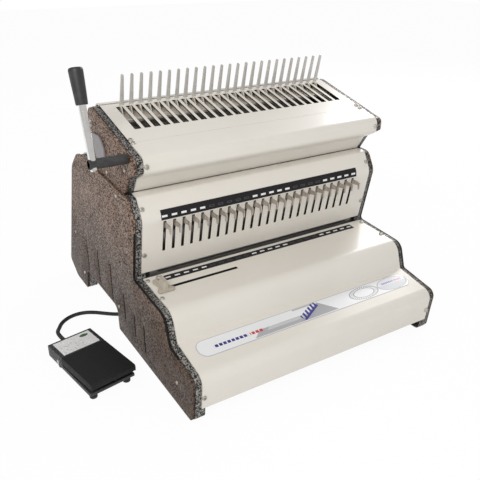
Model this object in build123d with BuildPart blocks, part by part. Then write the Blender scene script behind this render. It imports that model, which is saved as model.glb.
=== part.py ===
from build123d import *
from math import atan2, cos, hypot, pi, radians, sin, sqrt, tan
import os

os.makedirs("parts", exist_ok=True)

# Electric comb binding machine with a foot pedal, in millimetres.
# X runs to the right seen from the front, Y to the back and Z up.
# The origin is on the floor, at mid-width, below the front edge of the lower cover.

# Spacing that prongs, hooks, slots and punches share
comb_pitch = 14.2875
prong_count = 25
hook_count = 24
prong_offset = 8.3
hook_offset = -0.8

# Covers and casings
end_margin = 13.95
unit_step = 3.4
upper_half_width = (prong_count - 1) / 2 * comb_pitch + prong_offset + end_margin
lower_half_width = upper_half_width + unit_step
cover_sheet = 2.0
frame_sheet = 2.0
casing_sheet = 1.5
seat_gap = 0.1
casing_setback = 3.0
frame_strip = 8.0
strip_gap = 0.8
casing_depth = 3.2
flange_depth = 14.0
deck_lap = 1.0
joint_gap = 0.3

# Side outline of the lower unit as (Y, Z), with its corner radii
cover_foot = (0.0, 20.1)
front_foot_radius = 10.0
nose_corner = (-4.8, 68.6)
nose_radius = 15.0
label_top = (62.4, 81.1)
table_front = (75.2, 119.9)
table_front_radius = 22.0
table_rear = (165.0, 126.5)
mid_foot = (169.0, 133.0)
mid_nose = (152.4, 217.6)
mid_nose_radius = 20.0
mid_shoulder = (168.5, 245.6)
mid_shoulder_radius = 5.0
casing_shoulder_radius = 16.0
mid_top = (182.2, 247.9)
deck_step = (184.0, 248.2)
deck_front = (184.8, 244.6)
deck_rear = (373.0, 253.6)
deck_rear_radius = 30.0
back_top = (408.0, 223.3)
back_top_radius = 40.0
back_foot = (485.5, 21.1)
leg_rear = 452.0
leg_front = 399.0
arch_rear = 389.0
arch_front = 250.5
arch_height = 39.5
arch_radius = 12.0

# Side outline of the upper unit
chin_start = (183.2, 248.6)
chin_bend = (169.4, 270.0)
face_foot = (143.5, 283.4)
face_foot_radius = 8.0
face_top_radius = 10.0
seam = (184.0, 314.5)
ridge = (291.4, 341.3)
ridge_flange = 10.0
ridge_gap = 1.0
upper_back = 311.1
upper_back_radius = 17.0

# Slots of the top cover, prongs and their carriage, measured down the slope from the ridge
top_slot_width = 9.6
top_slot_shift = 1.2
top_slot_start = 12.0
top_slot_end = 79.0
prong_seat = 7.0
prong_height = 45.0
prong_base_width = 6.1
prong_tip_width = 3.9
prong_thickness = 2.0
comb_strip_width = 8.0
comb_strip_sheet = 3.0
hook_sheet = 1.8
hook_clearance = 0.4
carriage_front = 36.0
carriage_rear = 12.0
visor_rear = 4.0
visor_end_gap = 17.7
carriage_depth = 10.0
carriage_sheet = 3.0
rail_diameter = 8.0
running_gap = 0.1
rail_inset = 6.7
rail_depth = 16.0
rail_start = 4.0
rail_end = 106.0
rail_block = 6.0

# Slots and hooks of the middle cover, measured down from its nose
mid_slot_width = 4.2
mid_slot_start = 2.5
mid_slot_end = 49.3
mid_arm_reach = 17.0
mid_arm_height = 9.4
mid_hook_drop = 12.0
mid_bar_top = 4.0
mid_bar_height = 11.0
mid_bar_depth = 4.6
mid_bar_thickness = 5.4
mid_travel = 33.5
mid_rail_diameter = 3.0
mid_rail_x = lower_half_width - 11.6

# Printed strips and the control label
strip_thickness = 0.3
film_gap = 0.1
strip_trim = 1.45
strip_half_length = hook_count / 2 * comb_pitch - strip_trim
table_strip_width = 12.0
table_strip_centre = 153.0
mid_strip_height = 13.5
label_left = 16.1 - lower_half_width
label_right = lower_half_width - 10.1
label_start = 8.5
label_height = 29.5
label_corner_radius = 13.0

# Side guide on the table
guide_slot_y = 130.7
guide_slot_left = 9.1 - lower_half_width
guide_slot_right = -66.0
guide_slot_width = 4.6
guide_x = 15.1 - lower_half_width
guide_width = 24.0
guide_depth = 32.0
guide_base = 3.0
guide_height = 13.0
guide_waist = 12.0
guide_tail = 17.0
guide_rib_width = 9.0
guide_rib_length = 19.0
guide_rib_back = 4.5
guide_boss_height = 7.0
guide_boss_diameter = 11.0
guide_boss_y = 9.5
guide_stem = 3.8
knob_diameter = 8.4
knob_slot_width = 1.2
knob_slot_depth = 1.0
knob_height = 3.0
knob_boss_diameter = 5.0
knob_boss_height = 1.0

# Lever
hub_y = 167.0
hub_z = 300.5
hub_diameter = 12.5
hub_length = 50.3
shaft_diameter = 8.0
rod_inset = 6.0
rod_diameter = 9.7
lever_lean = 15.5
rod_tip = 9.0
rod_length = 71.0
grip_length = 45.0
grip_foot_diameter = 15.0
grip_head_diameter = 18.0
grip_bore_depth = 12.0
bush_diameter = 10.4
arm_x = upper_half_width - 43.7
arm_length = 16.0
arm_droop = 80.0
arm_sheet = 6.0
stop_plate_sheet = 3.0
stop_plate_corners = [(248, 272, 3), (303, 272, 3), (303, 304, 8), (262, 306, 14), (248, 290, 14)]

# Punching unit
die_front = 172.5
die_depth = 36.0
die_top = 126.8
die_thickness = 14.0
paper_gap = 2.8
stripper_thickness = 8.0
die_half_length = lower_half_width - 13.1
tab_depth = 28.0
tab_start = 182.0
punch_y = 190.0
punch_width = 8.0
punch_depth = 3.0
punch_clearance = 0.3
bar_foot = 160.0
bar_height = 22.0
bar_front = 180.0
bar_depth = 28.0
column_x = die_half_length - 6.0
column_diameter = 8.0
column_top = 204.0
cam_y = 196.0
cam_z = 216.0
camshaft_diameter = 16.0
cam_x = die_half_length - 94.0
cam_radius = 20.0
cam_throw = 6.0
cam_width = 14.0
cam_pad_margin = 3.0
cam_pad_depth = 20.0
tab_root = 2.0
tab_step = 4.0
stripper_recess = 0.4
cam_gap = 0.5
bearing_width = 32.0
pulley_radius = 26.0
pulley_width = 14.0
motor_pulley_radius = 14.0
motor_y = 330.0
motor_z = 196.0
motor_diameter = 88.0
motor_length = 96.0
motor_shaft_diameter = 10.0
belt_thickness = 2.0
belt_gap = 0.3
belt_width = 10.0
bracket_sheet = 5.0
bracket_width = 100.0
bracket_foot = 60.0

# Base plate and what stands on it
base_sheet = 2.0
base_front = 9.0
base_rear = 468.0
board_x = 120.0
board_y = 92.0
board_length = 120.0
board_width = 80.0
board_sheet = 1.6
standoff_height = 8.0
standoff_diameter = 6.0
board_block_height = 24.0
capacitor_radius = 4.0
capacitor_height = 8.0
drawer_y = 204.0
drawer_width = 60.0
drawer_height = 52.0
drawer_left = 32.1 - lower_half_width
drawer_wall = 2.0
drawer_gap = 0.6
finger_notch_radius = 12.0

# Mains inlet and switch on the rear slope
inlet_x = -120.0
switch_x = -60.0
socket_height = 85.0
inlet_width = 50.0
inlet_height = 28.0
inlet_flange = 2.0
inlet_body_width = 44.0
inlet_body_height = 23.0
inlet_body_depth = 28.0
inlet_cavity_width = 24.0
inlet_cavity_height = 16.0
inlet_cavity_depth = 20.0
blade_length = 9.0
switch_flange_width = 22.0
switch_flange_height = 30.0
switch_body_width = 18.0
switch_body_height = 26.0
switch_depth = 14.0
rocker_width = 12.0
rocker_height = 17.0
rocker_cavity_height = 20.0
rocker_tilt = 8.0
rocker_barrel_diameter = 5.0

# Louvres of the lower casings as (Y, top Z, bottom Z)
louvres = [(375, 110, 45), (322, 107, 48), (266, 108, 46), (217, 79, 35), (180, 65, 25), (146, 64, 18)]
louvre_width = 3.6
louvre_margin = 1.0

# Screws
screw_head_diameter = 6.5
casing_head_diameter = 5.0
screw_head_height = 2.2
screw_shank_diameter = 3.0
screw_length = 4.2
screw_hole_diameter = 3.6
front_screw_edge = 2.6
front_screw_z = 38.0
table_screw_edge = 2.7
table_screw_places = (156.0, 109.7)
mid_screw_edge = 2.9
mid_screw_down = 50.0
mid_screw_share = 0.48
upper_screw_edge = 3.1
upper_screw_down = 113.0
face_screw_z = 293.5
top_screw_down = 104.0
lower_casing_screws = [(210.5, 236.0), (429.0, 97.0), (403.5, 29.0), (240.0, 46.0), (43.0, 37.0)]
upper_casing_screws = [(297.5, 319.5), (296.0, 313.0), (248.0, 257.8), (179.6, 281.2)]

# Pedal, in its own plane: x along its rear edge, y to its front
pedal_corner = (-325.1, 225.0)
pedal_turn = 9.84
pedal_width = 66.8
pedal_length = 125.6
pedal_foot_height = 8.9
pedal_rear_height = 27.0
pedal_front_height = 31.0
pedal_rear_block = 42.8
pedal_tray_length = 121.0
pedal_tray_height = 14.5
pedal_wall = 3.0
flap_gap = 0.8
flap_lip = 9.0
flap_sheet = 4.0
flap_skirt_sheet = 2.0
flap_skirt_gap = 1.8
pin_y = 32.0
pin_z = 16.5
pin_diameter = 4.0
ear_width = 5.0
ear_inset = 7.0
foot_diameter = 11.0
foot_inset = 8.0
pedal_feet_y = (24.0, 112.0)
pedal_label_inset = 5.5
gland_x = 29.5
gland_z = 16.0
gland_length = 12.0
gland_diameter = 10.0

# Cord of the pedal: a lead to the coil under the machine, the coil and a tail to the gland
cord_diameter = 6.0
cord_floor = 3.2
coil_centre = (-108.0, 316.0)
coil_radius = 44.0
coil_pitch = 6.8
coil_half_turns = 6
machine_gland_diameter = 13.0
machine_gland_z = 36.0

SIDES = {"left": -1, "right": 1}


def line_meet(p, q, r, s):
    """Where the line through p and q crosses the line through r and s."""
    d1 = (q[0] - p[0], q[1] - p[1])
    d2 = (s[0] - r[0], s[1] - r[1])
    t = ((r[0] - p[0]) * d2[1] - (r[1] - p[1]) * d2[0]) / (d1[0] * d2[1] - d1[1] * d2[0])
    return (p[0] + t * d1[0], p[1] + t * d1[1])


def shifted(p, q, distance):
    """The segment from p to q, moved to its left by distance."""
    length = hypot(q[0] - p[0], q[1] - p[1])
    step = (-(q[1] - p[1]) / length * distance, (q[0] - p[0]) / length * distance)
    return (p[0] + step[0], p[1] + step[1]), (q[0] + step[0], q[1] + step[1])


def turns_left(p, q, r):
    return (q[0] - p[0]) * (r[1] - q[1]) - (q[1] - p[1]) * (r[0] - q[0]) > 0


def inset_outline(corners, insets):
    """A closed outline, listed counterclockwise as (Y, Z, radius), with edge i moved inwards by insets[i]."""
    count = len(corners)
    edges = [shifted(corners[i], corners[(i + 1) % count], insets[i]) for i in range(count)]
    result = []
    for i in range(count):
        before, here, after = corners[i - 1], corners[i], corners[(i + 1) % count]
        point = line_meet(*edges[i - 1], *edges[i])
        mean = (insets[i - 1] + insets[i]) / 2
        radius = max(0.5, here[2] - mean) if turns_left(before, here, after) else here[2] + mean
        result.append((point[0], point[1], radius if here[2] else 0))
    return result


def sheet_outline(points, sheet):
    """The closed outline of a bent sheet whose outer face follows points, with the body on the left."""
    edges = [shifted(a, b, sheet) for a, b in zip(points, points[1:])]
    inner = [(*edges[0][0], 0)]
    for i in range(1, len(points) - 1):
        point = line_meet(*edges[i - 1], *edges[i])
        left = turns_left(points[i - 1], points[i], points[i + 1])
        radius = points[i][2] - sheet if left else points[i][2] + sheet
        inner.append((*point, max(0, radius)))
    inner.append((*edges[-1][1], 0))
    outer = [(points[0][0], points[0][1], 0), *points[1:-1], (points[-1][0], points[-1][1], 0)]
    return outer + inner[::-1]


def rounded_face(corners):
    """Adds the face inside a closed outline of (x, y, radius) corners to the current sketch."""
    with BuildLine() as outline:
        FilletPolyline(*[(c[0], c[1]) for c in corners], radius=[c[2] for c in corners], close=True)
    make_face(outline.edges())


def prong_x(k):
    return (k - (prong_count - 1) / 2) * comb_pitch + prong_offset


def top_slot_x(k):
    """Middle of the slot on the left of prong k."""
    return prong_x(k) - comb_pitch / 2 + top_slot_shift


def hook_x(k):
    """Middle of slot k of the middle cover."""
    return (k - (hook_count - 1) / 2) * comb_pitch + hook_offset


# Planes of the sloping faces, each with x along X and z out of the machine
slope = atan2(ridge[1] - seam[1], ridge[0] - seam[0])
slope_plane = Plane(origin=(0, *ridge), x_dir=(1, 0, 0), z_dir=(0, -sin(slope), cos(slope)))
table_rise = atan2(table_rear[1] - table_front[1], table_rear[0] - table_front[0])
table_plane = Plane(origin=(0, *table_rear), x_dir=(1, 0, 0), z_dir=(0, -sin(table_rise), cos(table_rise)))
label_rise = atan2(label_top[1] - nose_corner[1], label_top[0] - nose_corner[0])
label_plane = Plane(origin=(0, *label_top), x_dir=(1, 0, 0), z_dir=(0, -sin(label_rise), cos(label_rise)))
mid_length = hypot(mid_foot[0] - mid_nose[0], mid_foot[1] - mid_nose[1])
mid_down = ((mid_foot[0] - mid_nose[0]) / mid_length, (mid_foot[1] - mid_nose[1]) / mid_length)
mid_arc_start = mid_nose_radius * tan(radians(20.4))
mid_zero = (mid_nose[0] + mid_down[0] * (mid_arc_start - 2), mid_nose[1] + mid_down[1] * (mid_arc_start - 2))
mid_plane = Plane(origin=(0, *mid_zero), x_dir=(1, 0, 0), z_dir=(0, mid_down[1], -mid_down[0]))
back_rise = atan2(back_foot[0] - back_top[0], back_top[1] - back_foot[1])


def on_slope(down, height):
    """(Y, Z) of a point down the top slope from the ridge, at a height over the cover."""
    return (
        ridge[0] - down * cos(slope) - height * sin(slope),
        ridge[1] - down * sin(slope) + height * cos(slope),
    )


def on_mid(down, depth):
    """(Y, Z) of a point down the middle cover from its nose, at a depth behind its face."""
    return (
        mid_zero[0] + mid_down[0] * down - mid_down[1] * depth,
        mid_zero[1] + mid_down[1] * down + mid_down[0] * depth,
    )


def on_table(y):
    """Z of the table's face at y."""
    return table_rear[1] + (y - table_rear[0]) * tan(table_rise)


def back_plane(x, z):
    """Plane on the rear slope at x and height z, with its normal to the rear."""
    y = back_foot[0] - (z - back_foot[1]) * tan(back_rise)
    return Plane(origin=(x, y, z), x_dir=(-1, 0, 0), z_dir=(0, cos(back_rise), sin(back_rise)))


# Outlines of the lower and the upper unit, counterclockwise from the front foot
throat = line_meet(table_front, table_rear, mid_foot, mid_nose)
floor_front = line_meet(nose_corner, cover_foot, (0, 0), (1, 0))
lower_corners = [
    (*floor_front, front_foot_radius),
    (arch_front - 1.5, 0, 3),
    (arch_front, arch_height, arch_radius),
    (arch_rear, arch_height, arch_radius),
    (leg_front, 0, 3),
    (leg_rear, 0, 20),
    (*back_foot, 8),
    (*back_top, back_top_radius),
    (*deck_rear, deck_rear_radius),
    (*deck_front, 0),
    (*deck_step, 0),
    (*mid_shoulder, mid_shoulder_radius),
    (*mid_nose, mid_nose_radius),
    (*throat, 2),
    (*table_front, table_front_radius),
    (*label_top, 2),
    (*nose_corner, nose_radius),
]
frame_inset = cover_sheet + seat_gap
casing_shoulder = line_meet(deck_front, deck_rear, mid_nose, mid_shoulder)
casing_corners = lower_corners[:9] + [(*casing_shoulder, casing_shoulder_radius)] + lower_corners[12:]
frame_insets = [0] * 6 + [frame_inset] * 2 + [deck_lap, 0] + [frame_inset] * 7
casing_insets = [0] * 9 + [casing_setback] * 6
lower_frame_outline = inset_outline(lower_corners, frame_insets)
lower_casing_outline = inset_outline(casing_corners, casing_insets)
deck_edge = lower_frame_outline[9], lower_frame_outline[8]
chin_foot = line_meet(chin_start, chin_bend, *[edge[:2] for edge in deck_edge])
back_joint = line_meet((upper_back, 0), (upper_back, 1), *[edge[:2] for edge in deck_edge])
back_corner = line_meet(seam, ridge, (upper_back, 0), (upper_back, 1))
face_top = line_meet(seam, ridge, face_foot, (face_foot[0], face_foot[1] + 1))
upper_corners = [
    (*chin_foot, 1),
    (*back_joint, 2),
    (*back_corner, upper_back_radius),
    (*face_top, face_top_radius),
    (*face_foot, face_foot_radius),
    (*chin_bend, 5),
]
upper_frame_outline = inset_outline(upper_corners, [0] + [frame_inset] * 5)
upper_casing_outline = inset_outline(upper_corners, [joint_gap, frame_inset] + [casing_setback] * 4)


def thin_inner(outline, wall):
    return inset_outline(outline, [wall] * len(outline))


lower_frame_x = lower_half_width + frame_strip
upper_frame_x = upper_half_width + frame_strip
lower_casing_x = lower_frame_x + strip_gap + casing_depth
upper_casing_x = upper_frame_x + strip_gap + casing_depth
hub_end = -upper_casing_x - hub_length
rod_x = hub_end + rod_inset
base_foot = arch_height + frame_sheet
base_top = base_foot + base_sheet
drawer_foot = base_top + joint_gap


def screw_plane(x, y, z, normal_y, normal_z):
    return Plane(origin=(x, y, z), x_dir=(1, 0, 0), z_dir=(0, normal_y, normal_z))


def screw_planes(x, y, z, normal):
    """Planes of a pair of screws at the left and the right edge of a cover."""
    return [screw_plane(side * x, y, z, *normal) for side in SIDES.values()]


front_normal = (nose_corner[1] - cover_foot[1], nose_corner[0] - cover_foot[0])
front_lean = (nose_corner[0] - cover_foot[0]) / (nose_corner[1] - cover_foot[1])
front_y = cover_foot[0] + (front_screw_z - cover_foot[1]) * front_lean
front_screw_x = lower_half_width - front_screw_edge
front_screws = screw_planes(front_screw_x, front_y, front_screw_z, (-front_normal[0], front_normal[1]))
table_normal = (-sin(table_rise), cos(table_rise))
table_screws = []
for place in table_screw_places:
    table_screws += screw_planes(lower_half_width - table_screw_edge, place, on_table(place), table_normal)
mid_normal = (mid_down[1], -mid_down[0])
mid_screw_x = lower_half_width - mid_screw_edge
mid_screws = screw_planes(mid_screw_x, *on_mid(mid_screw_down, 0), mid_normal)
mid_upper_step = (mid_shoulder[0] - mid_nose[0], mid_shoulder[1] - mid_nose[1])
mid_upper_at = [mid_nose[i] + mid_upper_step[i] * mid_screw_share for i in (0, 1)]
mid_screws += screw_planes(mid_screw_x, *mid_upper_at, (-mid_upper_step[1], mid_upper_step[0]))
slope_normal = (-sin(slope), cos(slope))
upper_screw_x = upper_half_width - upper_screw_edge
upper_screws = screw_planes(upper_screw_x, *on_slope(upper_screw_down, 0), slope_normal)
upper_screws += screw_planes(upper_screw_x, face_foot[0], face_screw_z, (-1, 0))
top_screws = screw_planes(upper_screw_x, *on_slope(top_screw_down, 0), slope_normal)
cover_screw_planes = front_screws + table_screws + mid_screws + upper_screws + top_screws


def drill(planes, diameter):
    """Cuts a short hole into the current part at each plane."""
    with BuildSketch(*planes) as holes:
        Circle(diameter / 2)
    extrude(holes.sketch, amount=-screw_length - 1, mode=Mode.SUBTRACT)


def pan(outline, wall, x_open, x_plate, sheet):
    """Adds a pan across X whose plate is at x_plate and whose rim opens at x_open."""
    depth = x_plate - x_open
    plate = sheet if depth > 0 else -sheet
    with BuildSketch(Plane.YZ.offset(x_open)) as whole:
        rounded_face(outline)
    extrude(whole.sketch, amount=depth)
    with BuildSketch(Plane.YZ.offset(x_open)) as hollow:
        rounded_face(thin_inner(outline, wall))
    extrude(hollow.sketch, amount=depth - plate, mode=Mode.SUBTRACT)


drawer_box = (drawer_y, drawer_foot + drawer_height / 2)
drawer_hole = (drawer_width + 2 * drawer_gap, drawer_height + 2 * drawer_gap)


def clear_of_drawer(louvre, side):
    return side < 0 or abs(louvre[0] - drawer_y) > drawer_width / 2 + 2 * louvre_width


for name, side in SIDES.items():
    kept = [louvre for louvre in louvres if clear_of_drawer(louvre, side)]
    with BuildPart() as lower_frame:
        pan(lower_frame_outline, frame_sheet, side * (lower_frame_x - flange_depth), side * lower_frame_x, frame_sheet)
        with BuildSketch(Plane.YZ.offset(side * lower_frame_x)):
            for y, top, bottom in kept:
                with Locations((y, (top + bottom) / 2)):
                    SlotOverall(top - bottom + 2 * louvre_margin, louvre_width + 2 * louvre_margin, rotation=90)
            with Locations(*lower_casing_screws):
                Circle(screw_hole_diameter / 2)
            if side > 0:
                with Locations(drawer_box):
                    Rectangle(*drawer_hole)
        extrude(amount=frame_sheet + 1, both=True, mode=Mode.SUBTRACT)
        drill(front_screws + table_screws + mid_screws, screw_hole_diameter)
    lower_frame.part.label = f"lower_frame_{name}"
    export_step(lower_frame.part, f"parts/lower_frame_{name}.step")

    with BuildPart() as lower_casing:
        pan(
            lower_casing_outline,
            casing_sheet,
            side * (lower_frame_x + strip_gap),
            side * lower_casing_x,
            casing_sheet,
        )
        with BuildSketch(Plane.YZ.offset(side * lower_casing_x)):
            for y, top, bottom in kept:
                with Locations((y, (top + bottom) / 2)):
                    SlotOverall(top - bottom, louvre_width, rotation=90)
            with Locations(*lower_casing_screws):
                Circle(screw_hole_diameter / 2)
            if side > 0:
                with Locations(drawer_box):
                    Rectangle(*drawer_hole)
        extrude(amount=casing_sheet + 1, both=True, mode=Mode.SUBTRACT)
    lower_casing.part.label = f"lower_casing_{name}"
    export_step(lower_casing.part, f"parts/lower_casing_{name}.step")

    with BuildPart() as upper_frame:
        pan(upper_frame_outline, frame_sheet, side * (upper_frame_x - flange_depth), side * upper_frame_x, frame_sheet)
        with BuildSketch(Plane.YZ.offset(side * upper_frame_x)):
            with Locations(*upper_casing_screws):
                Circle(screw_hole_diameter / 2)
            with Locations((hub_y, hub_z)):
                Circle(bush_diameter / 2)
        extrude(amount=frame_sheet + 1, both=True, mode=Mode.SUBTRACT)
        drill(upper_screws + top_screws, screw_hole_diameter)
    upper_frame.part.label = f"upper_frame_{name}"
    export_step(upper_frame.part, f"parts/upper_frame_{name}.step")

    with BuildPart() as upper_casing:
        pan(
            upper_casing_outline,
            casing_sheet,
            side * (upper_frame_x + strip_gap),
            side * upper_casing_x,
            casing_sheet,
        )
        with BuildSketch(Plane.YZ.offset(side * upper_casing_x)):
            with Locations(*upper_casing_screws):
                Circle(screw_hole_diameter / 2)
            if side < 0:
                with Locations((hub_y, hub_z)):
                    Circle(shaft_diameter / 2 + joint_gap)
        extrude(amount=casing_sheet + 1, both=True, mode=Mode.SUBTRACT)
    upper_casing.part.label = f"upper_casing_{name}"
    export_step(upper_casing.part, f"parts/upper_casing_{name}.step")


# Lower cover: front, label slope and table in one bent sheet
with BuildPart() as lower_cover:
    with BuildSketch(Plane.YZ.offset(-lower_half_width)):
        rounded_face(
            sheet_outline(
                [
                    (*table_rear, 0),
                    (*table_front, table_front_radius),
                    (*label_top, 2),
                    (*nose_corner, nose_radius),
                    (*cover_foot, 0),
                ],
                cover_sheet,
            )
        )
    extrude(amount=2 * lower_half_width)
    with BuildSketch(table_plane):
        with Locations(((guide_slot_left + guide_slot_right) / 2, guide_slot_y - table_rear[0])):
            SlotOverall(guide_slot_right - guide_slot_left, guide_slot_width)
    extrude(amount=cover_sheet + 1, both=True, mode=Mode.SUBTRACT)
    drill(front_screws + table_screws, screw_hole_diameter)
lower_cover.part.label = "lower_cover"
export_step(lower_cover.part, "parts/lower_cover.step")

# Middle cover with its 24 slots
with BuildPart() as mid_cover:
    with BuildSketch(Plane.YZ.offset(-lower_half_width)):
        rounded_face(
            sheet_outline(
                [
                    (*mid_top, 0),
                    (*mid_shoulder, mid_shoulder_radius),
                    (*mid_nose, mid_nose_radius),
                    (*mid_foot, 0),
                ],
                cover_sheet,
            )
        )
    extrude(amount=2 * lower_half_width)
    with BuildSketch(mid_plane):
        with Locations(*[(hook_x(k), -(mid_slot_start + mid_slot_end) / 2) for k in range(hook_count)]):
            SlotOverall(mid_slot_end - mid_slot_start, mid_slot_width, rotation=90)
    extrude(amount=cover_sheet + 1, both=True, mode=Mode.SUBTRACT)
    drill(mid_screws, screw_hole_diameter)
mid_cover.part.label = "mid_cover"
export_step(mid_cover.part, "parts/mid_cover.step")

# Upper front cover, from the seam round the nose to the chin
with BuildPart() as upper_cover:
    with BuildSketch(Plane.YZ.offset(-upper_half_width)):
        rounded_face(
            sheet_outline(
                [
                    (*on_slope(hypot(ridge[0] - seam[0], ridge[1] - seam[1]) + joint_gap, 0), 0),
                    (*face_top, face_top_radius),
                    (*face_foot, face_foot_radius),
                    (*chin_bend, 5),
                    (*chin_start, 0),
                ],
                cover_sheet,
            )
        )
    extrude(amount=2 * upper_half_width)
    drill(upper_screws, screw_hole_diameter)
upper_cover.part.label = "upper_cover"
export_step(upper_cover.part, "parts/upper_cover.step")

# Slotted top cover with a flange folded down behind the ridge
ridge_fold = (ridge[0] + ridge_flange * sin(slope), ridge[1] - ridge_flange * cos(slope))
with BuildPart() as top_cover:
    with BuildSketch(Plane.YZ.offset(-upper_half_width)):
        rounded_face(sheet_outline([(*ridge_fold, 0), (*ridge, 2.5), (*seam, 0)], cover_sheet))
    extrude(amount=2 * upper_half_width)
    for side in SIDES.values():
        with BuildSketch(Plane.YZ.offset(side * (upper_frame_x - flange_depth - joint_gap))):
            with BuildLine():
                Polyline(
                    on_slope(-4, -cover_sheet),
                    on_slope(6, -cover_sheet),
                    on_slope(6, -2 * ridge_flange),
                    on_slope(-4, -2 * ridge_flange),
                    close=True,
                )
            make_face()
        extrude(amount=side * flange_depth, mode=Mode.SUBTRACT)
    with BuildSketch(slope_plane):
        with Locations(*[(top_slot_x(k), -(top_slot_start + top_slot_end) / 2) for k in range(prong_count)]):
            Rectangle(top_slot_width, top_slot_end - top_slot_start)
        with Locations(*[(prong_x(k), -prong_seat) for k in range(prong_count)]):
            Rectangle(prong_base_width + 0.2, prong_thickness + 0.2)
    extrude(amount=cover_sheet + 1, both=True, mode=Mode.SUBTRACT)
    drill(top_screws, screw_hole_diameter)
top_cover.part.label = "top_cover"
export_step(top_cover.part, "parts/top_cover.step")

# Rear covers
with BuildPart() as rear_cover:
    foot_y = back_foot[0] - (base_top - back_foot[1]) * tan(back_rise)
    deck_line = shifted(deck_rear, deck_front, deck_lap - frame_inset)
    deck_start = line_meet(*deck_line, (upper_back + joint_gap, 0), (upper_back + joint_gap, 1))
    deck_end = line_meet(*deck_line, back_top, deck_rear)
    with BuildSketch(Plane.YZ.offset(-lower_half_width)):
        rounded_face(
            sheet_outline(
                [
                    (foot_y, base_top, 0),
                    (*back_top, back_top_radius),
                    (*deck_end, lower_frame_outline[8][2] + frame_inset),
                    (*deck_start, 0),
                ],
                cover_sheet,
            )
        )
    extrude(amount=2 * lower_half_width)
    with BuildSketch(back_plane(inlet_x, socket_height)):
        Rectangle(inlet_body_width + joint_gap, inlet_body_height + joint_gap)
    extrude(amount=cover_sheet + 1, both=True, mode=Mode.SUBTRACT)
    with BuildSketch(back_plane(switch_x, socket_height)):
        Rectangle(switch_body_width + joint_gap, switch_body_height + joint_gap)
    extrude(amount=cover_sheet + 1, both=True, mode=Mode.SUBTRACT)
rear_cover.part.label = "rear_cover"
export_step(rear_cover.part, "parts/rear_cover.step")

with BuildPart() as upper_rear_cover:
    cover_start = on_slope(-ridge_gap, 0)
    with BuildSketch(Plane.YZ.offset(-upper_half_width)):
        rounded_face(
            sheet_outline(
                [
                    (upper_back, back_joint[1] + cover_sheet + 2 * joint_gap, 0),
                    (*back_corner, upper_back_radius - 3),
                    (*cover_start, 0),
                ],
                cover_sheet,
            )
        )
    extrude(amount=2 * upper_half_width)
upper_rear_cover.part.label = "upper_rear_cover"
export_step(upper_rear_cover.part, "parts/upper_rear_cover.step")

# Base plate on the rims of the side frames
with BuildPart() as base_plate:
    with BuildSketch(Plane.XY.offset(base_foot)):
        with Locations((0, (base_front + base_rear) / 2)):
            Rectangle(2 * (lower_frame_x - frame_sheet), base_rear - base_front)
    extrude(amount=base_sheet)
    tail_x = coil_centre[0] - 32.0
    tail_y = coil_centre[1] + coil_radius
    with BuildSketch(Plane.XY.offset(base_foot)):
        with Locations((tail_x, tail_y)):
            Circle(machine_gland_diameter / 2 - 2)
    extrude(amount=base_sheet, mode=Mode.SUBTRACT)
base_plate.part.label = "base_plate"
export_step(base_plate.part, "parts/base_plate.step")

# Prong comb: a strip under the top cover with 25 upright prongs through it
with BuildPart() as prong_comb:
    with BuildSketch(slope_plane.offset(-cover_sheet)):
        with Locations((prong_x((prong_count - 1) / 2), -prong_seat)):
            Rectangle(prong_x(prong_count - 1) - prong_x(0) + 12, comb_strip_width)
    extrude(amount=-comb_strip_sheet)
    prong_face = Plane(
        origin=slope_plane.from_local_coords((0, -prong_seat - prong_thickness / 2, 0)),
        x_dir=(1, 0, 0),
        z_dir=-slope_plane.y_dir,
    )
    with BuildSketch(prong_face):
        for k in range(prong_count):
            x = prong_x(k)
            base, tip = prong_base_width / 2, prong_tip_width / 2
            with BuildLine():
                foot = Line((x - base, -cover_sheet - 1), (x + base, -cover_sheet - 1))
                rise = Line(foot @ 1, (x + tip, prong_height - tip))
                TangentArc(rise @ 1, (x - tip, prong_height - tip), tangent=rise % 1)
                Line((x - tip, prong_height - tip), foot @ 0)
            make_face()
    extrude(amount=-prong_thickness)
prong_comb.part.label = "prong_comb"
export_step(prong_comb.part, "parts/prong_comb.step")

# Top carriage with a hook in each slot of the top cover
rail_x = upper_half_width - rail_inset
with BuildPart() as top_carriage:
    with BuildSketch(slope_plane.offset(-carriage_depth)):
        with Locations((0, -(carriage_front + carriage_rear) / 2)):
            Rectangle(2 * (rail_x + 7), carriage_front - carriage_rear)
        with Locations((0, -(carriage_front + visor_rear) / 2)):
            Rectangle(2 * (upper_half_width - visor_end_gap), carriage_front - visor_rear)
    extrude(amount=-carriage_sheet)
    for k in range(prong_count):
        left = prong_x(k) - prong_base_width / 2 - 0.1 - hook_clearance - hook_sheet
        with BuildSketch(Plane.YZ.offset(left)):
            with BuildLine():
                Polyline(
                    on_slope(top_slot_start + 0.8, 1.0),
                    on_slope(top_slot_start + 5, 1.0),
                    on_slope(carriage_rear + 13, -carriage_depth + 1),
                    on_slope(carriage_rear + 13, -carriage_depth - 1.5),
                    on_slope(carriage_rear - 1, -carriage_depth - 1.5),
                    on_slope(top_slot_start + 0.8, -3.5),
                    close=True,
                )
            make_face()
        extrude(amount=hook_sheet)
    for side in SIDES.values():
        with BuildSketch(slope_plane.offset(-carriage_depth - carriage_sheet)):
            with Locations((side * rail_x, -(carriage_front + carriage_rear) / 2)):
                Rectangle(14, carriage_front - carriage_rear)
        extrude(amount=-8)
        rail_start_plane = Plane(
            origin=slope_plane.from_local_coords((side * rail_x, -carriage_rear + 1, -rail_depth)),
            x_dir=(1, 0, 0),
            z_dir=-slope_plane.y_dir,
        )
        with BuildSketch(rail_start_plane):
            Circle(rail_diameter / 2 + running_gap)
        extrude(amount=carriage_front - carriage_rear + 2, mode=Mode.SUBTRACT)
top_carriage.part.label = "top_carriage"
export_step(top_carriage.part, "parts/top_carriage.step")

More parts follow.
